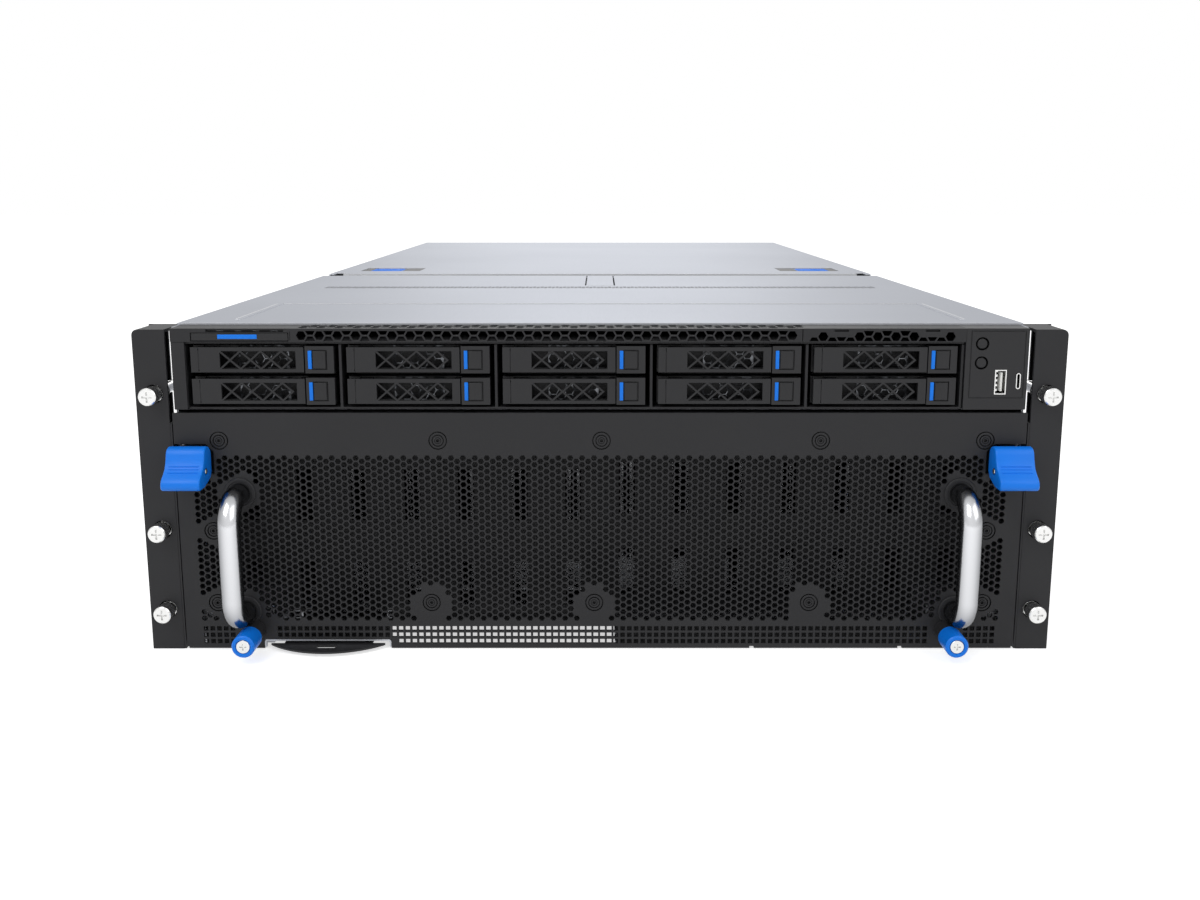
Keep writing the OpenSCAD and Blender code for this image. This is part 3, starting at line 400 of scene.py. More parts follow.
def black_abs():
    """Moulded ABS: black, with a spark-eroded texture of about 0.3 mm."""
    material, shader, place = new_material("black_abs", "#222224", 0.42, Specular_IOR_Level=0.3)
    surface_grain(material, shader, place, 0.3, 0.15, (0.36, 0.5))
    return material


def blue_abs():
    """Moulded ABS dyed blue for parts that the hand may touch: satin, with a faint texture."""
    material, shader, place = new_material("blue_abs", "#0676E4", 0.38, Specular_IOR_Level=0.3)
    colour_drift(material, shader, place, "#0572DF", "#077AE9", 20)
    surface_grain(material, shader, place, 0.4, 0.12)
    return material


def zinc_steel():
    """Zinc-plated sheet steel: pale and satin, drawn very finely along its length."""
    material, shader, place = new_material("zinc_steel", "#B6B8BD", 0.5, 1.0)
    shader.inputs["Specular Tint"].default_value = linear("#CDCFD4")
    colour_drift(material, shader, place, "#B0B2B7", "#BCBEC3", 180)
    stretch = add_node(material, "ShaderNodeMapping", None, {"Scale": (1.0, 0.04, 1.0)},
                       {"Vector": place})
    surface_grain(material, shader, stretch.outputs["Vector"], 0.6, 0.05, (0.44, 0.56))
    return material


def chrome_plate():
    """Decorative chrome on brass, slightly satin, with a painted reflection: its base colour
    darkens where the surface turns away from the camera.
    """
    material, shader, place = new_material("chrome_plate", "#BEC0C3", 0.2, 1.0)
    surface_grain(material, shader, place, 3.0, 0.02, (0.17, 0.24))
    # Painted reflection: Layer Weight facing takes the base colour to dark grey towards the edges
    # as the camera sees them
    facing = add_node(material, "ShaderNodeLayerWeight", None, {"Blend": 0.68})
    mix_colours(material, shader, "#D4D5D8", "#3E4044", facing.outputs["Facing"])
    return material


def nickel_steel():
    """Nickel-plated screw steel: bright, turned on a lathe and tumbled."""
    material, shader, place = new_material("nickel_steel", "#D9D9D8", 0.24, 1.0)
    surface_grain(material, shader, place, 0.3, 0.08, (0.18, 0.32))
    return material


def solder_mask():
    """Green solder mask on glass-epoxy board, over copper areas of about 8 by 4 mm."""
    material, shader, place = new_material("solder_mask", "#0F4A2A", 0.35)
    tracks = add_node(material, "ShaderNodeTexBrick", None,
                      {"Color1": linear("#0F4A2A"), "Color2": linear("#136036"),
                       "Mortar": linear("#0B3A20"), "Scale": 60.0, "Mortar Size": 0.03},
                      {"Vector": place})
    feed(shader, "Base Color", tracks.outputs["Color"])
    surface_grain(material, shader, place, 0.8, 0.1)
    return material


def fin_aluminium():
    """Extruded aluminium, bare, with a faint grain."""
    material, shader, place = new_material("fin_aluminium", "#C4C6C9", 0.34, 1.0)
    surface_grain(material, shader, place, 0.5, 0.06, (0.28, 0.42))
    return material


def white_nylon():
    """Moulded nylon, natural white: the insulator inside a socket."""
    material, shader, place = new_material("white_nylon", "#E4E4E0", 0.45)
    surface_grain(material, shader, place, 0.3, 0.08)
    return material


def spring_steel():
    """Stainless spring steel with painted glints: its base colour goes from near black to bright
    steel in noisy spots a few millimetres across.
    """
    material, shader, place = new_material("spring_steel", "#6C6E72", 0.35, 1.0)
    # Painted glints: noise picks which spots of the mesh are bright steel and which are near black
    glint_spots = add_node(material, "ShaderNodeMapRange", None, {"From Min": 0.46, "From Max": 0.62},
                       {"Value": add_noise(material, place, 260.0, 1.0)})
    mix_colours(material, shader, "#1F2022", "#6E7074", glint_spots.outputs["Result"])
    return material


MAKERS = {
    "white_nylon": white_nylon,
    "spring_steel": spring_steel,
    "black_powder_coat": black_powder_coat,
    "black_plastic": black_abs,
    "zinc_steel": zinc_steel,
    "blue_plastic": blue_abs,
    "chrome": chrome_plate,
    "screw_steel": nickel_steel,
    "circuit_board": solder_mask,
    "heatsink_aluminium": fin_aluminium,
}
made_materials = {}


def finish_of(name):
    """The material of a slot or another finish, made once."""
    if name not in made_materials:
        made_materials[name] = MAKERS[name]()
    return made_materials[name]


# ---- Stage ----


def seen_directly(owner):
    """1 for rays from the camera, in gloss and through glass, and 0 for all others."""
    path = add_node(owner, "ShaderNodeLightPath")
    gloss = add_node(owner, "ShaderNodeMath", {"operation": "MAXIMUM"}, None,
                     {0: path.outputs["Is Camera Ray"], 1: path.outputs["Is Glossy Ray"]})
    seen = add_node(owner, "ShaderNodeMath", {"operation": "MAXIMUM"}, None,
                    {0: gloss.outputs[0], 1: path.outputs["Is Transmission Ray"]})
    return seen.outputs[0]


def number(name, description, default, **limits):
    """A number in the add-on's settings."""
    return bpy.props.FloatProperty(name=name, description=description, default=default, **limits)


def length(name, description, default):
    """A length in the add-on's settings, in metres."""
    return number(name, description, default, unit="LENGTH")


class STAGE_PG_settings(bpy.types.PropertyGroup):
    """Camera and light."""

    camera_distance: length("Camera distance", "Distance in front of the front plane", 0.583)
    camera_height: length("Camera height", "Height above the floor", 0.2458)
    camera_tilt: number("Camera tilt", "How far the camera looks down", math.radians(10.0),
                        subtype="ANGLE")
    lens: number("Lens", "Focal length in millimetres on a 36 mm wide sensor", 34.23,
                 min=10.0, max=200.0)
    shift_y: number("Vertical shift", "Vertical shift of the lens", -0.0517)
    key_power: number("Key light", "Power of the key light in watts", 16.0, min=0.0)
    world_level: number("Surrounding light", "Strength of the light from all round", 0.6, min=0.0)
    floor_glow: number("Floor glow", "How much white the floor adds where it is seen directly",
                       0.62, min=0.0, max=1.0)


class SERVER_OT_stage(bpy.types.Operator):
    """Makes the floor, the lights, the world and the camera"""

    bl_idname = "server.stage"
    bl_label = "Stage"

    def execute(self, context):
        settings = context.scene.server_stage
        bpy.ops.mesh.primitive_plane_add(size=14.0, location=(0, 2.0, -0.0002))
        floor = context.active_object
        floor.name = "floor"
        apply_place(floor)
        material, shader, _ = new_material("white_floor_paint", "#E8E8E8", 0.9)
        glow = add_node(material, "ShaderNodeMath", {"operation": "MULTIPLY"},
                        {1: settings.floor_glow}, {0: seen_directly(material)})
        feed(shader, "Emission Strength", glow.outputs[0])
        shader.inputs["Emission Color"].default_value = (1, 1, 1, 1)
        shader.inputs["Specular IOR Level"].default_value = 0.0
        floor.data.materials.append(material)

        world = bpy.data.worlds.new("studio")
        context.scene.world = world
        world.use_nodes = True
        background = world.node_tree.nodes["Background"]
        background.inputs["Color"].default_value = (1, 1, 1, 1)
        strength = add_node(world, "ShaderNodeMapRange", None,
                            {"To Min": settings.world_level, "To Max": 1.0},
                            {"Value": seen_directly(world)})
        feed(background, "Strength", strength.outputs["Result"])

        for name, place, power, size in (
                ("key_light", (-0.9, -1.6, 1.7), settings.key_power, 1.2),
                ("fill_light", (1.2, -1.4, 1.3), settings.key_power * 0.5, 1.4),
                ("rear_light", (0.0, 2.6, 1.5), settings.key_power * 0.6, 1.2)):
            lamp = bpy.data.lights.new(name, "AREA")
            lamp.energy = power
            lamp.size = size
            holder = bpy.data.objects.new(name, lamp)
            context.collection.objects.link(holder)
            holder.location = place
            aim = Vector((0, 0, 0.08)) - Vector(place)
            holder.rotation_euler = aim.to_track_quat("-Z", "Y").to_euler()

        camera = bpy.data.cameras.new("camera")
        camera.sensor_width = 36.0
        camera.lens = settings.lens
        camera.shift_y = settings.shift_y
        camera.clip_start = 0.01
        holder = bpy.data.objects.new("camera", camera)
        context.collection.objects.link(holder)
        holder.location = (0, FRONT_Y - settings.camera_distance, settings.camera_height)
        holder.rotation_euler = (math.radians(90) - settings.camera_tilt, 0, 0)
        context.scene.camera = holder
        context.scene.view_settings.view_transform = "Standard"
        return {"FINISHED"}


class SERVER_OT_frame_finishes(bpy.types.Operator):
    """Gives every CAD node that stays in view its finish"""

    bl_idname = "server.frame_finishes"
    bl_label = "Finishes of the frame"

    def execute(self, context):
        slots = {part["node"]: part["material_slot"] for part in frame["record"]["subparts"]}
        for node, obj in frame["nodes"].items():
            obj.data.materials.clear()
            obj.data.materials.append(finish_of(slots[node]))
        return {"FINISHED"}


class LOOKS_PG_settings(bpy.types.PropertyGroup):
    """Sizes of the rounded edges and fine pieces."""

    sheet_edge: length("Sheet edge", "Rounding of the edges of sheet metal", 0.3 * MM)
    moulded_edge: length("Moulded edge", "Rounding of the edges of moulded parts", 0.4 * MM)
    vent_flat: length("Vent hole", "Distance between opposite flats of a vent hole", 2.85 * MM)
    vent_pitch: length("Vent pitch", "Distance between neighbouring vent holes", 3.61 * MM)
    handle_radius: length("Handle radius", "Radius of the handle bar", 5.8 * MM)


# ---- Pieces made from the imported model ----


def dressed_copy(node, slot, edge=0.0, tools=(), extras=()):
    """Shows a merged copy of a CAD node with rounded edges instead of the node.

    Tools are cut out of the copy, and extras are joined to it."""
    source = frame["nodes"][node]
    select_only(source)
    bpy.ops.object.duplicate()
    obj = bpy.context.active_object
    body = obj["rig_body"]
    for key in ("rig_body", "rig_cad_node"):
        del obj[key]
    obj.parent = None
    merge_points(obj, 0.000002)
    with editing(obj):
        bpy.ops.mesh.dissolve_limited(angle_limit=math.radians(0.4))
    if tools:
        cut(obj, tools)
    if edge:
        round_edges(obj, edge)
    obj = join([obj, *extras])
    finish_piece(obj, node + "_piece", body, slot, smooth=30.0)
    # Large flat faces keep flat shading beside their rounded edges
    flat = obj.modifiers.new("Flat faces", "WEIGHTED_NORMAL")
    flat.keep_sharp = True
    flat.weight = 100
    apply_modifier(obj, flat)
    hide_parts(node)


class SERVER_OT_sheet_metal(bpy.types.Operator):
    """Makes the case, the covers, the ears and the inner sheet metal"""

    bl_idname = "server.sheet_metal"
    bl_label = "Sheet metal"

    def execute(self, context):
        edge = context.scene.server_looks.sheet_edge / MM
        for node, slot, width in (
                ("chassis_tub", "zinc_steel", edge), ("mid_shelf", "zinc_steel", 0),
                ("rear_panel", "zinc_steel", 0), ("module_tray", "zinc_steel", 0),
                ("rack_ear_left", "black_powder_coat", edge),
                ("rack_ear_right", "black_powder_coat", edge),
                ("drive_cage", "black_powder_coat", edge),
                ("air_baffle", "black_powder_coat", 0)):
            dressed_copy(node, slot, width)
        self.covers(edge)
        return {"FINISHED"}

    def covers(self, edge):
        """Both covers: the front one steps down before the seam, below the rear one's edge."""
        step, length, sheet = 1.5, 19.0, 1.2
        half, seam = span("front_cover", "x")[1], span("front_cover", "y")[1]
        top = span("rear_cover", "z")[1]
        trench = add_block(at(-half - 1, seam - length, top - step),
                           at(half + 1, seam + 1, top + 1))
        floor = add_block(at(-half + 2, seam - length - 2, top - step - sheet),
                          at(half - 2, seam + 0.1, top - step))
        # The air holes at their true size, in a window of the copy
        hole, pitch = 2.5, 3.1
        x0, x1, y0, y1 = -197, 201.5, 224, 242
        window = add_block(at(x0, y0, top - 3), at(x1, y1, top + 1))
        holes = staggered_field(hexagon(hole, x0 + 2.5, y0 + 3), 146, 4, pitch)
        vent = plate_from([add_outline(rectangle(x0, x1, y0, y1)), holes], sheet, top=top)
        dressed_copy("front_cover", "zinc_steel", edge, [trench, window], [floor, vent])
        dressed_copy("rear_cover", "zinc_steel", edge)
        # The front edge of the rear cover at the seam, in bright screw steel instead of zinc: a
        # painted highlight of the light this edge catches
        lip = add_block(at(-half + 11.7, seam + 0.15, top - step - 0.1),
                        at(half - 11.7, seam + 0.9, top - 0.05))
        finish_piece(lip, "cover_edge_highlight", "rear_cover", "screw_steel")
        # Bright screw-steel strips along the outer bend of the pressed frame, a painted highlight
        # of the light the bend catches, and the seal under the air holes
        side, start, end = half - 26.7, 33, 114.4
        low, high = top - 0.1, top + 0.32
        edges = [add_block(at(x, start, low), at(x + 1.0, end, high))
                 for x in (-side - 0.8, side - 0.2)]
        edges.append(add_block(at(-side, end, low), at(side, end + 0.8, high)))
        finish_piece(join(edges), "cover_bend_highlight", "chassis", "screw_steel")
        seal = add_block(at(-half + 26, 224.5, top - 3), at(half - 26, 240, top - 0.1))
        finish_piece(seal, "cover_seal", "chassis", "black_plastic")


class SERVER_OT_moulded_parts(bpy.types.Operator):
    """Makes the cover latches and rounds the control panel, tags, fans and power supplies"""

    bl_idname = "server.moulded_parts"
    bl_label = "Moulded parts"

    def execute(self, context):
        edge = context.scene.server_looks.moulded_edge / MM
        for side in ("left", "right"):
            self.cover_latch(f"cover_latch_{side}")
        for node in ("control_panel", "id_tag", "info_tab"):
            dressed_copy(node, "black_plastic", edge * 0.7)
        for node in ("fan_frames", *(f"fan_rotor_{number}" for number in range(1, 6))):
            dressed_copy(node, "black_plastic", edge)
        for number in range(1, 5):
            dressed_copy(f"power_supply_{number}", "zinc_steel", 0.3)
        return {"FINISHED"}

    def cover_latch(self, node):
        """A slide latch with finger ribs, between black blocks in its well that stand for the shade
        there: painted shade.
        """
        low, high = span(node, "x")
        front, back = span(node, "y")
        bottom = span(node, "z")[0]
        slider_top, rib_foot, rib_top, guide_top = 174.7, 174, 175.2, 174.6
        rib, rib_step, gap, well = 1.6, 4.4, 0.4, 38.2
        slider = add_block(at(low, front, bottom), at(high, back, slider_top), 0.5)
        ribs = [add_block(at(low + 0.6, y, rib_foot), at(high - 0.6, y + rib, rib_top), 0.3)
                for y in (front + 1 + rib_step * k for k in range(6))]
        latch = finish_piece(join([slider] + ribs), node + "_piece", node, "blue_plastic")
        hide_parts(node)
        # The black blocks are painted shade where the well's far wall lies in shadow; the wider one
        # lies on the side of the server's middle
        before, beyond = (15.6, 8.1) if high > 0 else (8.1, 15.6)
        shade_blocks = [add_block(at(x0, front - 0.1, bottom), at(x1, front + well, guide_top))
                  for x0, x1 in ((low - before, low - gap), (high + gap, high + beyond))]
        finish_piece(join(shade_blocks), node + "_guides", "rear_cover", "black_plastic")


# ---- Vent panel of the GPU module ----


def staggered_field(outline, columns, rows, pitch):
    """Repeats an outline in staggered columns, an even number of them, as flat lines."""
    column_pitch = pitch * math.sqrt(3) / 2
    even = add_outline(outline)
    odd = add_outline([(x + column_pitch, y + pitch / 2) for x, y in outline])
    for obj in (even, odd):
        repeat(obj, rows, (0, pitch, 0))
        repeat(obj, columns // 2, (2 * column_pitch, 0, 0))
    return join([even, odd])


def clear_zones(obj, zones):
    """Deletes every outline that reaches into a zone: its middle, half sizes in mm and power."""
    select_only(obj)
    bpy.ops.object.mode_set(mode="EDIT")
    bpy.ops.mesh.select_mode(type="VERT")
    bpy.ops.mesh.select_all(action="DESELECT")
    cage = bmesh.from_edit_mesh(obj.data)
    for vertex in cage.verts:
        x, z = vertex.co.x / MM, vertex.co.y / MM
        vertex.select_set(any(abs((x - zone[0]) / zone[2]) ** zone[4]
                              + abs((z - zone[1]) / zone[3]) ** zone[4] < 1 for zone in zones))
    bmesh.update_edit_mesh(obj.data)
    bpy.ops.mesh.select_linked()
    bpy.ops.mesh.delete(type="VERT")
    bpy.ops.object.mode_set(mode="OBJECT")


# Powers that make a zone an ellipse or a rectangle
ROUND, SQUARE = 2, 40
# Middles of the panel's screws in mm right and up, in three groups
TOP_SCREWS = [(x, 115) for x in (-199.4, -84.9, 0.8, 115.5, 201.6)]
LOW_SCREWS = [(x, 26.1) for x in (-90.3, -3.1, 112.1)]
SIDE_SCREWS = [(side * 205, z) for side in (-1, 1) for z in (26, 66)]
PANEL_SCREWS = TOP_SCREWS + LOW_SCREWS + SIDE_SCREWS
SCREW_HOLE_RADIUS = 4.9
# The lever pins in mm back and up
PIN_Y, PIN_Z = -10, 101


class SERVER_OT_vent_panel(bpy.types.Operator):
    """Makes the module's front panel with its fine honeycomb and its square mesh"""

    bl_idname = "server.vent_panel"
    bl_label = "Vent panel"

    def execute(self, context):
        tab = span("info_tab", "x")
        tab = (tab[0] - 3.4, tab[1] + 3.4)
        thickness = 1.5
        lines = [self.outline(tab), self.honeycomb(context.scene.server_looks),
                 self.square_mesh(tab)]
        lines += [add_outline(circle(x, z, SCREW_HOLE_RADIUS)) for x, z in PANEL_SCREWS]
        panel = plate_from(lines, thickness, thickness)
        finish_piece(panel, "vent_panel", "gpu_module", "black_powder_coat")
        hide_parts("module_front_panel")
        return {"FINISHED"}

    def honeycomb(self, looks):
        """The fine holes, left out beyond the sides and round screws, handles and levers."""
        flat, pitch = looks.vent_flat / MM, looks.vent_pitch / MM
        column_pitch = pitch * math.sqrt(3) / 2
        handle_x = span("carry_handles", "x")[1] - 6.4
        lever_x = span("module_lever_right", "x")[0]
        field_x, field_low, field_high = 214.3, 15.8, 108.9
        columns = 2 * int((2 * field_x - flat) / column_pitch / 2) + 1
        start_x = -(columns - 1) / 2 * column_pitch
        rows = int((field_high - field_low) / pitch)
        holes = staggered_field(hexagon(flat, start_x, field_low + flat / 2), columns + 1, rows,
                                pitch)
        zones = [(x, 24, 9.5, 9.5, ROUND) for x, _ in LOW_SCREWS]
        zones += [(x, 32, 4.5, 3.5, SQUARE) for x, _ in LOW_SCREWS]
        zones += [(x, z, 6.3, 6.3, ROUND) for x, z in SIDE_SCREWS]
        zones += [(x, z, 5.3, 5.3, ROUND) for x, z in (TOP_SCREWS[0], TOP_SCREWS[-1])]
        for side in (-1, 1):
            zones += [(side * handle_x, z, 9.0, 9.0, ROUND) for z in (21.5, 86.5)]
            zones += [(side * (field_x + 4), 60, 3.9, 60, SQUARE),
                      (side * (lever_x + 15), 106, 16.2, 10.6, SQUARE),
                      (side * 185, 14, 10, 3, SQUARE)]
        clear_zones(holes, zones)
        return holes

    def square_mesh(self, tab):
        """The rows of square holes below, left out round the thumbscrews and over the tab."""
        x, z, hole, pitch = -213.5, 2.95, 2.5, 3.62
        squares = add_outline(rectangle(x, x + hole, z, z + hole))
        repeat(squares, 3, (0, pitch, 0))
        repeat(squares, 118, (pitch, 0, 0))
        zones = [(side * 185.2, 8, 8.3, 8, SQUARE) for side in (-1, 1)]
        zones.append(((tab[0] + tab[1]) / 2, 3.2, (tab[1] - tab[0]) / 2 + 0.6, 3.2, SQUARE))
        clear_zones(squares, zones)
        return squares

    def outline(self, tab):
        """The panel's edge, notched for the levers, the tab and two small catches."""
        half = span("module_front_panel", "x")[1] - 0.6
        bottom, top = span("module_front_panel", "z")
        notch_x, notch_low, notch_high = span("module_lever_right", "x")[0] - 0.9, 97, 113.2
        chamfer, corner = 4, 1
        right = [(half, top), (half, notch_high), (notch_x + chamfer, notch_high),
                 (notch_x, notch_high - chamfer), (notch_x, notch_low), (half, notch_low),
                 (half, bottom + corner), (half - corner, bottom + corner),
                 (half - corner, bottom)]
        left = [(-x, z) for x, z in right]
        tab_top, catch_half, catch_top = 5.3, 1.2, bottom + 1.1
        tab_notch = [(tab[0], bottom), (tab[0], tab_top), (tab[1], tab_top), (tab[1], bottom)]
        catches = [point for x in (81.9, 161.9) for point in
                   ((x - catch_half, bottom), (x - catch_half, catch_top),
                    (x + catch_half, catch_top), (x + catch_half, bottom))]
        return add_outline(left + tab_notch + catches + right[::-1])


class SERVER_OT_panel_fittings(bpy.types.Operator):
    """Makes the panel's screws, bosses, dark strips, lever brackets, lever pins and tab rim"""

    bl_idname = "server.panel_fittings"
    bl_label = "Panel fittings"

    def execute(self, context):
        stud = [(5.6, -2.1), (5.6, -1.5), (4.25, -1.5), (4.25, -0.05), (4.1, 0.05), (3.25, 0.05),
                (3.2, -1.1), (2.7, -1.1), (2.65, 0.05), (1.8, 0.05), (1.75, -0.5), (1.5, -0.5),
                (1.45, 0.05), (0.9, 0.05), (0.85, -1.3), (0.1, -1.3)]
        studs = join([add_turned(stud, at(x, 0, z)) for x, z in PANEL_SCREWS])
        finish_piece(studs, "panel_screws", "gpu_module", "black_powder_coat")
        lever_x = span("module_lever_right", "x")[0]
        self.fittings(lever_x)
        pin = [(1.3, 0), (1.5, 0.2), (1.5, 19.7), (1.3, 19.9)]
        pins = join([add_turned(pin, at(side * (lever_x - 0.3), PIN_Y, PIN_Z), axis)
                     for side, axis in ((1, "+X"), (-1, "-X"))])
        finish_piece(pins, "lever_pins", "gpu_module", "screw_steel")
        self.tab_rim()
        return {"FINISHED"}

    def fittings(self, lever_x):
        """The top flange, the thumbscrews' bosses, the side flanges and the levers' brackets."""
        side_wall, wall_top = span("module_tray", "x")[1], span("module_tray", "z")[1]
        boss = [(5.2, 0), (5.2, 9.1), (4.8, 9.5), (2.6, 9.5), (2.6, 0)]
        bracket = [(-12.7, 101.2), (-12.2, 99.7), (-11.2, 98.8), (-9.5, 98.3), (0.2, 97.4),
                   (1.6, 96.6), (1.6, 88), (3.2, 88), (3.2, 98.6), (0.5, 100.6), (-8.5, 103.3),
                   (-10.4, 103.6), (-12, 102.7)]
        thumbscrew = front_middle("thumbscrew_right")
        flange, edge = 1.2, 0.2
        fittings = [add_block(at(-side_wall, 1.4, wall_top), at(side_wall, 16, wall_top + flange),
                              edge)]
        for side in (-1, 1):
            fittings.append(add_turned(boss, Vector((side * thumbscrew.x, *thumbscrew.yz))))
            ends = sorted((side * (side_wall - 2 * flange), side * (side_wall - flange)))
            fittings.append(add_block(at(ends[0], 1.4, 26), at(ends[1], 20, 86), edge))
            ends = sorted((side * (lever_x + 8.5), side * (lever_x + 11.5)))
            fittings.append(bar_across(bracket, *ends))
        # Dark strips behind the square mesh, away from the thumbscrews and the tab
        for x0, x1, z0, z1 in ((-214, -190.5, 1.0, 15), (-180, -112.8, 3.9, 15),
                               (-112.8, 8.7, 13.2, 23), (8.7, 180, 1.0, 15),
                               (190.5, 214, 1.0, 15)):
            fittings.append(add_block(at(x0, 5.2, z0), at(x1, 6.0, z1)))
        finish_piece(join(fittings), "panel_fittings", "gpu_module", "black_powder_coat")

    def tab_rim(self):
        """The pale rim round the slot of the pull-out tab."""
        tab = span("info_tab", "x")
        rim_side = [(1.4, 4.4), (0.9, 3.9), (0.9, 0.9), (0, 0.9), (0, 4.3), (0.9, 5.2)]
        outline = [(tab[0] - 3.3 + x, z) for x, z in rim_side]
        outline += [(tab[1] + 3.3 - x, z) for x, z in rim_side[::-1]]
        rim = plate_from([add_outline(outline)], 1.7, 1.6)
        finish_piece(rim, "tab_rim", "gpu_module", "zinc_steel")


# ---- Handles, thumbscrews, levers and screws ----


class SERVER_OT_carry_handles(bpy.types.Operator):
    """Makes both chromed carry handles and their feet"""

    bl_idname = "server.carry_handles"
    bl_label = "Carry handles"

    def execute(self, context):
        radius = context.scene.server_looks.handle_radius / MM
        bend, reach, collar = 13.0, 20.5, 0.6
        handle_x = span("carry_handles", "x")[1] - radius - collar
        low, high = span("carry_handles", "z")
        low, high = low + radius + collar, high - radius - collar
        straight = reach - bend
        handles, feet = [], []
        foot = [(8.4, 0), (8.4, 0.7), (8.1, 1.0), (6.9, 1.0), (6.6, 0.5), (6.0, 0.5)]
        for side in (-1, 1):
            x = side * handle_x
            feet += [add_turned(foot, at(x, 0, z)) for z in (low, high)]
            bpy.ops.mesh.primitive_circle_add(vertices=40, radius=radius * MM)
            obj = context.active_object
            place_at(obj, at(x, 0, low), "-Y")

            def turn(z):
                bpy.ops.mesh.spin(steps=14, angle=math.radians(90), axis=(1, 0, 0),
                                  center=at(x, -straight, z))

            with editing(obj):
                extrude(0, -straight, 0)
                turn(low + bend)
                extrude(0, 0, high - low - 2 * bend)
                turn(high - bend)
                extrude(0, straight, 0)
            merge_points(obj)
            handles.append(obj)
        obj = finish_piece(join(handles), "chrome_handles", "gpu_module", "chrome", smooth=50.0)
        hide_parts("carry_handles")
        finish_piece(join(feet), "handle_feet", "gpu_module", "black_powder_coat")
        return {"FINISHED"}


def cross_recess(obj, place, length, width, depth):
    """Cuts a cross recess into the front of a screw head."""
    arms = []
    for size in ((length, width), (width, length)):
        bpy.ops.mesh.primitive_cube_add(size=1.0, scale=(size[0] * MM, size[1] * MM, depth * MM))
        arms.append(bpy.context.active_object)
        apply_place(arms[-1])
        place_at(arms[-1], place, "-Y")
    cut(obj, arms)


class SERVER_OT_thumbscrews(bpy.types.Operator):
    """Makes the blue sleeves and steel heads of both thumbscrews"""

    bl_idname = "server.thumbscrews"
    bl_label = "Thumbscrews"

    def execute(self, context):
        sleeve = [(2.7, 9.9), (5.4, 9.9), (6.0, 10.5), (6.0, 23.3), (5.3, 24.0), (4.1, 24.0),
                  (3.9, 23.6), (3.9, 22.6), (2.5, 22.6)]
        screw = [(2.5, -12), (2.5, 22.7), (3.7, 22.7), (3.75, 23.4), (3.4, 23.75), (0.2, 23.8)]
        for word in ("left", "right"):
            node = f"thumbscrew_{word}"
            place = front_middle(node)
            obj = add_turned(sleeve, place, sides=48, closed=False)
            finish_piece(obj, node + "_sleeve", node, "blue_plastic")
            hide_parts(node)
            steel = add_turned(screw, place)
            cross_recess(steel, place - Vector((0, screw[-1][1] * MM, 0)), 3.6, 0.8, 1.6)
            finish_piece(steel, node + "_screw", node, "screw_steel")
        return {"FINISHED"}


# Side outline of an ejector lever in mm back and up: flat back, round top, waist and lip
LEVER_SIDE = [(-1, 99), (-1, 108.5), (-1.6, 110.6), (-3.5, 112.6), (-6, 113.4), (-8, 113.3),
              (-9.6, 112.7), (-10.8, 111.4), (-11.4, 109.8), (-12, 107.8), (-13, 105.4),
              (-14.3, 103.2), (-16.2, 101.5), (-18.2, 100.1), (-20, 98.7), (-21, 97.2),
              (-21.2, 95.2), (-20.8, 93.9), (-19.6, 93.1), (-13, 93), (-3.5, 95.8)]


class SERVER_OT_levers(bpy.types.Operator):
    """Makes both blue ejector levers with their grip lines"""

    bl_idname = "server.levers"
    bl_label = "Ejector levers"

    def execute(self, context):
        wall = 2.2
        for side, word in ((-1, "left"), (1, "right")):
            node = f"module_lever_{word}"
            x0, x1 = span(node, "x")
            inner = side * min(abs(x0), abs(x1))
            slot = sorted((inner + side * 7.5, inner + side * 12.5))
            lever = bar_across(LEVER_SIDE, x0, x1, 0.8, 3, 50.0)
            cut(lever, [add_block(at(x0 + wall, -9.4, 95), at(x1 - wall, 1, 110.6)),
                        add_block(at(slot[0], -13.1, 95), at(slot[1], 1, 104.3)),
                        add_turned([(1.95, -1), (1.95, 22)], at(x0, PIN_Y, PIN_Z), "+X")])
            ribs = [add_block(at(x0 + wall, y - 0.35, z), at(x1 - wall, y + 1, z + 0.45), 0.15)
                    for y, z in ((-13.6, 104.2), (-14.5, 102.8), (-16.1, 101.4))]
            lever = finish_piece(join([lever] + ribs), node + "_piece", node, "blue_plastic",
                                 smooth=40.0)
            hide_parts(node)
        return {"FINISHED"}


class SERVER_OT_rack_screws(bpy.types.Operator):
    """Makes the captive rack screws with their cross recesses and springs"""

    bl_idname = "server.rack_screws"
    bl_label = "Rack screws"

    def execute(self, context):
        radius, heights = 4.6, (22.225, 66.675, 139.7)
        x = span("rack_screws", "x")[1] - radius
        front, end = span("rack_screws", "y")
        reach = -front
        head = [(3.0, -end), (3.0, reach - 7.8), (4.3, reach - 7.6), (radius, reach - 7.2),
                (radius, reach - 0.5), (4.1, reach), (0.3, reach)]
        one = add_turned(head, at(0, 0, 0), sides=40)
        cross_recess(one, at(0, -reach, 0), 5.4, 1.0, 2.2)
        coils = []
        for turn in range(6):
            bpy.ops.mesh.primitive_torus_add(major_radius=4.1 * MM, minor_radius=0.4 * MM,
                                             major_segments=24, minor_segments=6,
                                             location=at(0, 1.8 + 1.9 * turn, 0),
                                             rotation=(math.radians(90 + 6), 0, 0))
            coils.append(bpy.context.active_object)
            apply_place(coils[-1])
        one = join([one] + coils)
        made = []
        for side in (-1, 1):
            for z in heights:
                select_only(one)
                bpy.ops.object.duplicate()
                twin = bpy.context.active_object
                twin.location = (side * x * MM, 0, z * MM)
                apply_place(twin)
                made.append(twin)
        select_only(one)
        bpy.ops.object.delete()
        obj = finish_piece(join(made), "captive_screws", "chassis", "screw_steel")
        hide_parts("rack_screws")
        return {"FINISHED"}


# ---- Drive trays ----


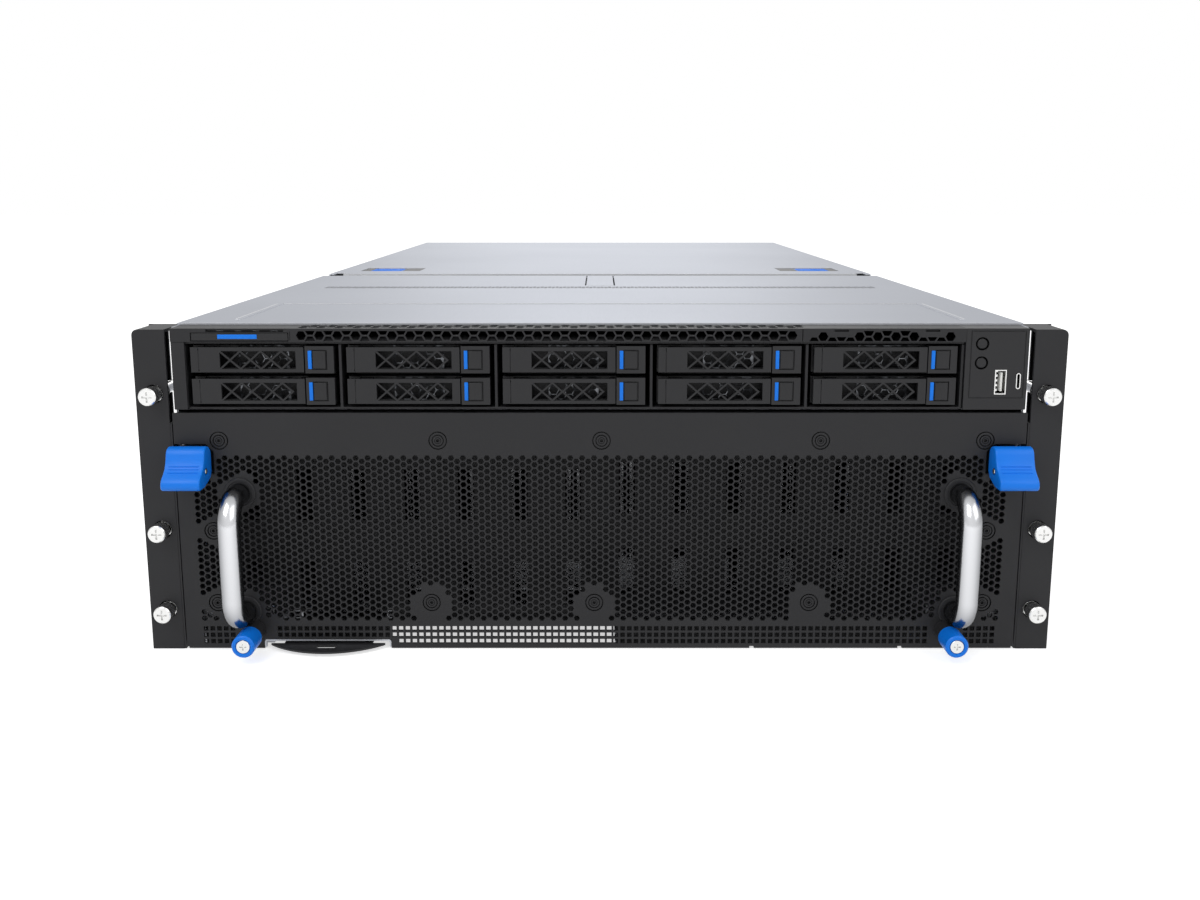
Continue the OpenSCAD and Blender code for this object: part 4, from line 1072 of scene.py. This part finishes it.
def cross_openings(x0, x1, z0, z1, cells, pitch, bar):
    """Openings in mm between crossed bars that end in half a cross, and the window beyond."""
    middle, length = (z0 + z1) / 2, math.hypot(pitch, z1 - z0)
    dx, dz = bar / 2 * length / (z1 - z0), bar / 2 * length / pitch
    shapes = [[(x0, z0 + dz), (x0 + pitch / 2 - dx, middle), (x0, z1 - dz)]]
    for cell in range(cells):
        left = x0 + cell * pitch
        centre, right = left + pitch / 2, left + pitch
        shapes.append([(left + dx, z0), (right - dx, z0), (centre, middle - dz)])
        shapes.append([(left + dx, z1), (centre, middle + dz), (right - dx, z1)])
        shapes.append([(centre + dx, middle), (right, z0 + dz),
                       (right + pitch / 2 - dx, middle), (right, z1 - dz)])
    end = x0 + cells * pitch + dx
    shapes.append([(end, z0), (x1, z0), (x1, z1), (end, z1), (end + pitch / 2, middle)])
    return shapes


class SERVER_OT_drive_trays(bpy.types.Operator):
    """Makes the face, the latch lever, the button and the vent of each drive tray"""

    bl_idname = "server.drive_trays"
    bl_label = "Drive trays"
    # Where the latch's knuckle and lever end, and the low and high of the lever's window, in mm
    knuckle, lever_end, window_low, window_high = 6.8, 58.9, 2.3, 11.6

    def execute(self, context):
        for number in range(1, 11):
            node = f"drive_tray_{number}"
            # The tray's lower left corner, from which its small pieces are measured
            x, z = span(node, "x")[0], span(node, "z")[0] + 0.25
            pocket = add_block(at(x - 1, -1, z - 1), at(x + self.knuckle, 5.6, z + 15.2))
            dressed_copy(node, "black_plastic", 0.25, tools=[pocket])
            strip = add_block(at(x + 61.1, 0.55, z + 2.3), at(x + 63.0, 3, z + 11.9), 0.25)
            finish_piece(strip, f"tray_strip_{number}", node, "blue_plastic")
            button = add_block(at(x + 63.6, 0.35, z + 2.5), at(x + 70.2, 3, z + 11.7), 0.4, 3)
            finish_piece(button, f"tray_button_{number}", node, "black_plastic")
            self.lever(number, x, z)
            self.mesh(number, x, z)
        return {"FINISHED"}

    def lever(self, number, x, z):
        """The latch lever: a plate with crossed bars in its window, on its knuckle."""
        node = f"drive_latch_{number}"
        low, high = span(node, "z")
        end = x + self.lever_end
        window = (x + 15.5, x + 54.7, z + self.window_low, z + self.window_high)
        outlines = [rectangle(x + 0.4, end, low, high),
                    rectangle(x + 4.35, x + 4.6, low + 0.5, high - 0.5),
                    *cross_openings(*window, cells=3, pitch=10.6, bar=1.0)]
        plate = plate_from([add_outline(points) for points in outlines], 1.8, 2.4, 0.12)
        backing = [add_block(at(x + self.knuckle, 2.3, low), at(x + 13, 6.6, high)),
                   add_block(at(x + 56, 2.3, low), at(end, 6.6, high)),
                   add_block(at(x + 3.4, 2.3, z + 2.3), at(x + 7.4, 6.6, z + 11.5)),
                   add_turned([(3.0, 0), (3.0, 9.2)], at(x + 3.4, 3.6, z + 2.3), "+Z")]
        lever = finish_piece(join([plate] + backing), f"latch_lever_{number}", node,
                             "black_plastic")
        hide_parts(node)

    def mesh(self, number, x, z):
        """The thin steel mesh behind the lever's window."""
        hole, pitch = 4.35, 4.75
        holes = staggered_field(hexagon(hole, x + 26.6, z + 2.35), 6, 3, pitch)
        clear_zones(holes, [(x + 35, z + 17.4, 40, 3.1, SQUARE)])
        edge = add_outline(rectangle(x + 24, x + 50.2, z + 0.05, z + 14.15))
        vent = plate_from([edge, holes], 0.4, 6.0)
        finish_piece(vent, f"tray_vent_{number}", f"drive_tray_{number}", "screw_steel",
                     "spring_steel")


# ---- Control panel, tag and sockets ----


STRIP_FLAT, STRIP_PITCH = 4.6, 5.41
STRIP_STEP = STRIP_PITCH * math.sqrt(3) / 2


def clipped_hexagon(x, z, low, high):
    """Corners in mm of a hole of the strip, cut off level below low and above high."""
    flat, side = STRIP_FLAT / 2, STRIP_FLAT / math.sqrt(3)

    def reach(height):
        return side * (1 - abs(height - z) / flat / 2)

    heights = [h for h in (max(z - flat, low), z, min(z + flat, high)) if low <= h <= high]
    return [(x + reach(h), h) for h in heights] + [(x - reach(h), h) for h in heights[::-1]]


class SERVER_OT_honeycomb_strip(bpy.types.Operator):
    """Makes the perforated strip above the drives, with its flange and the pocket of the tag"""

    bl_idname = "server.honeycomb_strip"
    bl_label = "Honeycomb strip"

    def execute(self, context):
        (x0, x1), (z0, z1) = span("front_bezel", "x"), span("front_bezel", "z")
        sheet, depth, middle, first = 1.2, 16.0, 170.3, -154
        tag_x, tag_z = span("id_tag", "x"), span("id_tag", "z")
        tag = (tag_x[0] - 0.3, tag_x[1] + 0.3, tag_z[0] - 0.3, tag_z[1] + 0.3)
        shapes = self.openings(first, middle, (z0 + 0.35, z1 - sheet))
        # The strip's edge, the tag's pocket and slot, and the seams beside the tag and the inset
        shapes += [rectangle(x0, x1, z0, z1), rectangle(*tag), rectangle(-203, -163, 172.3, 173.6),
                   rectangle(-159.85, -159.6, z0 + 1, z1 - 1.4),
                   rectangle(104.2, 104.6, z0 + 0.2, z1 - 0.2)]
        # Two slits in the inset frame
        shapes += [rectangle(x, x + 7.4, 172.4, 173.5) for x in (120.7, 167.6)]
        face = plate_from([add_outline(shape) for shape in shapes], sheet, sheet)
        holes = staggered_field(hexagon(STRIP_FLAT, first, 4.4), 56, 2, STRIP_PITCH)
        lap = sheet - 0.1
        flange = plate_from([add_outline(rectangle(x0, x1, lap, depth)), holes], sheet, top=z1)
        walls = [add_block(at(low, lap, z0), at(high, depth, z1 - lap))
                 for low, high in ((x0, x0 + sheet), (x1 - sheet, x1))]
        walls += [add_block(at(low, lap, z0), at(low + 0.9, 66, tag[3] + 0.7))
                  for low in (tag[0] - 0.9, tag[1])]
        strip = finish_piece(join([face, flange] + walls), "honeycomb_strip", "chassis",
                             "black_powder_coat")
        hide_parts("front_bezel")
        dashes = [add_block(at(low, 1.3, 172.6), at(low + 3.5, 2.2, 173.4), 0.1)
                  for low in (-197.8, -188.5, -179, -169.7)]
        finish_piece(join(dashes), "tag_contacts", "chassis", "zinc_steel")
        return {"FINISHED"}

    def openings(self, first, middle, clip):
        """Outlines of all holes of the face, cut off level by the clip's low and high."""
        shapes = []
        for k in range(55):
            x = first + k * STRIP_STEP
            if k % 2 == 0:
                shapes.append(clipped_hexagon(x, middle, *clip))
            else:
                shapes += [clipped_hexagon(x, middle + side * STRIP_PITCH / 2, *clip)
                           for side in (-1, 1)]
        # The inset frame on the right, where two holes are half covered
        inset, inset_step, inset_z = 115, 9.37, middle - 0.5
        for k in range(9):
            x = inset + k * inset_step
            between = x - inset_step / 2
            if k in (0, 2, 3, 4, 5, 7):
                shapes.append(clipped_hexagon(x, inset_z, *clip))
            elif k < 8:
                shapes.append(clipped_hexagon(x, inset_z, clip[0], inset_z - 0.2))
            if k < 8:
                shapes.append(clipped_hexagon(between, inset_z - STRIP_PITCH / 2, *clip))
            if k in (3, 4, 5):
                shapes.append(clipped_hexagon(between, inset_z + STRIP_PITCH / 2, *clip))
        return shapes


class SERVER_OT_front_details(bpy.types.Operator):
    """Makes the control panel's sockets and button caps, and the blue mark of the tag"""

    bl_idname = "server.front_details"
    bl_label = "Front details"

    def execute(self, context):
        x, z = span("id_tag", "x")[0], span("id_tag", "z")[0]
        mark = add_block(at(x + 13.7, 0.0, z + 1.0), at(x + 34, 1.2, z + 3.3), 0.1)
        finish_piece(mark, "tag_mark", "id_tag", "blue_plastic")

        button = [(2.0, -20), (2.0, -3.3), (2.6, -3.3), (2.6, -0.8), (2.3, -0.5), (0.2, -0.5)]
        for node in ("power_button", "id_button"):
            obj = add_turned(button, front_middle(node))
            finish_piece(obj, node + "_cap", node, "black_plastic")
            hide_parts(node)

        shells = join([*self.wide_socket(204.7, 210.7, 139.5, 152.4),
                       self.slim_socket(215.8, 218.1, 142.3, 150.7)])
        finish_piece(shells, "socket_shells", "chassis", "screw_steel")
        return {"FINISHED"}

    def wide_socket(self, x0, x1, z0, z1):
        """A socket with a white tongue; returns its shell and contact springs."""
        wall, spring_step = 0.5, 2.5
        shell = plate_from([add_outline(rectangle(x0, x1, z0, z1)),
                            add_outline(rectangle(x0 + wall, x1 - wall, z0 + wall, z1 - wall))],
                           14, 14.4)
        springs = [add_block(at(x0 + 0.7, 1.2, z), at(x0 + 1.7, 6, z + 1.3), 0.3)
                   for z in (z0 + 1.6 + spring_step * k for k in range(5))]
        tongue = add_block(at(x0 + 3.2, 1.5, z0 + 1.5), at(x0 + 4.4, 13, z1 - 1.5), 0.2)
        finish_piece(tongue, "socket_tongue", "chassis", "black_plastic", "white_nylon")
        return [shell] + springs

    def slim_socket(self, x0, x1, z0, z1):
        """The shell of a narrow socket with round ends."""
        middle, half = (x0 + x1) / 2, (x1 - x0) / 2
        ring = []
        for radius in (half, half - 0.45):
            arc = [(math.cos(math.radians(v)) * radius, math.sin(math.radians(v)) * radius)
                   for v in range(0, 181, 20)]
            ring.append(add_outline([(middle + x, z1 - half + z) for x, z in arc]
                                    + [(middle - x, z0 + half - z) for x, z in arc]))
        return plate_from(ring, 10, 10.4)


class SERVER_PT_panel(bpy.types.Panel):
    """Lists the steps that dress the server"""

    bl_label = "GPU server"
    bl_idname = "SERVER_PT_panel"
    bl_space_type = "VIEW_3D"
    bl_region_type = "UI"
    bl_category = "Server"

    def draw(self, context):
        for operator in OPERATORS:
            self.layout.operator(operator.bl_idname)


OPERATORS = [
    SERVER_OT_stage,
    SERVER_OT_frame_finishes,
    SERVER_OT_sheet_metal,
    SERVER_OT_moulded_parts,
    SERVER_OT_vent_panel,
    SERVER_OT_panel_fittings,
    SERVER_OT_carry_handles,
    SERVER_OT_thumbscrews,
    SERVER_OT_levers,
    SERVER_OT_rack_screws,
    SERVER_OT_drive_trays,
    SERVER_OT_honeycomb_strip,
    SERVER_OT_front_details,
]
CLASSES = [STAGE_PG_settings, LOOKS_PG_settings] + OPERATORS + [SERVER_PT_panel]


def register():
    for cls in CLASSES:
        bpy.utils.register_class(cls)
    bpy.types.Scene.server_stage = bpy.props.PointerProperty(type=STAGE_PG_settings)
    bpy.types.Scene.server_looks = bpy.props.PointerProperty(type=LOOKS_PG_settings)


def unregister():
    del bpy.types.Scene.server_looks
    del bpy.types.Scene.server_stage
    for cls in reversed(CLASSES):
        bpy.utils.unregister_class(cls)


def main():
    register()
    for operator in OPERATORS:
        group, name = operator.bl_idname.split(".")
        getattr(getattr(bpy.ops, group), name)()


if __name__ == "__main__":
    main()
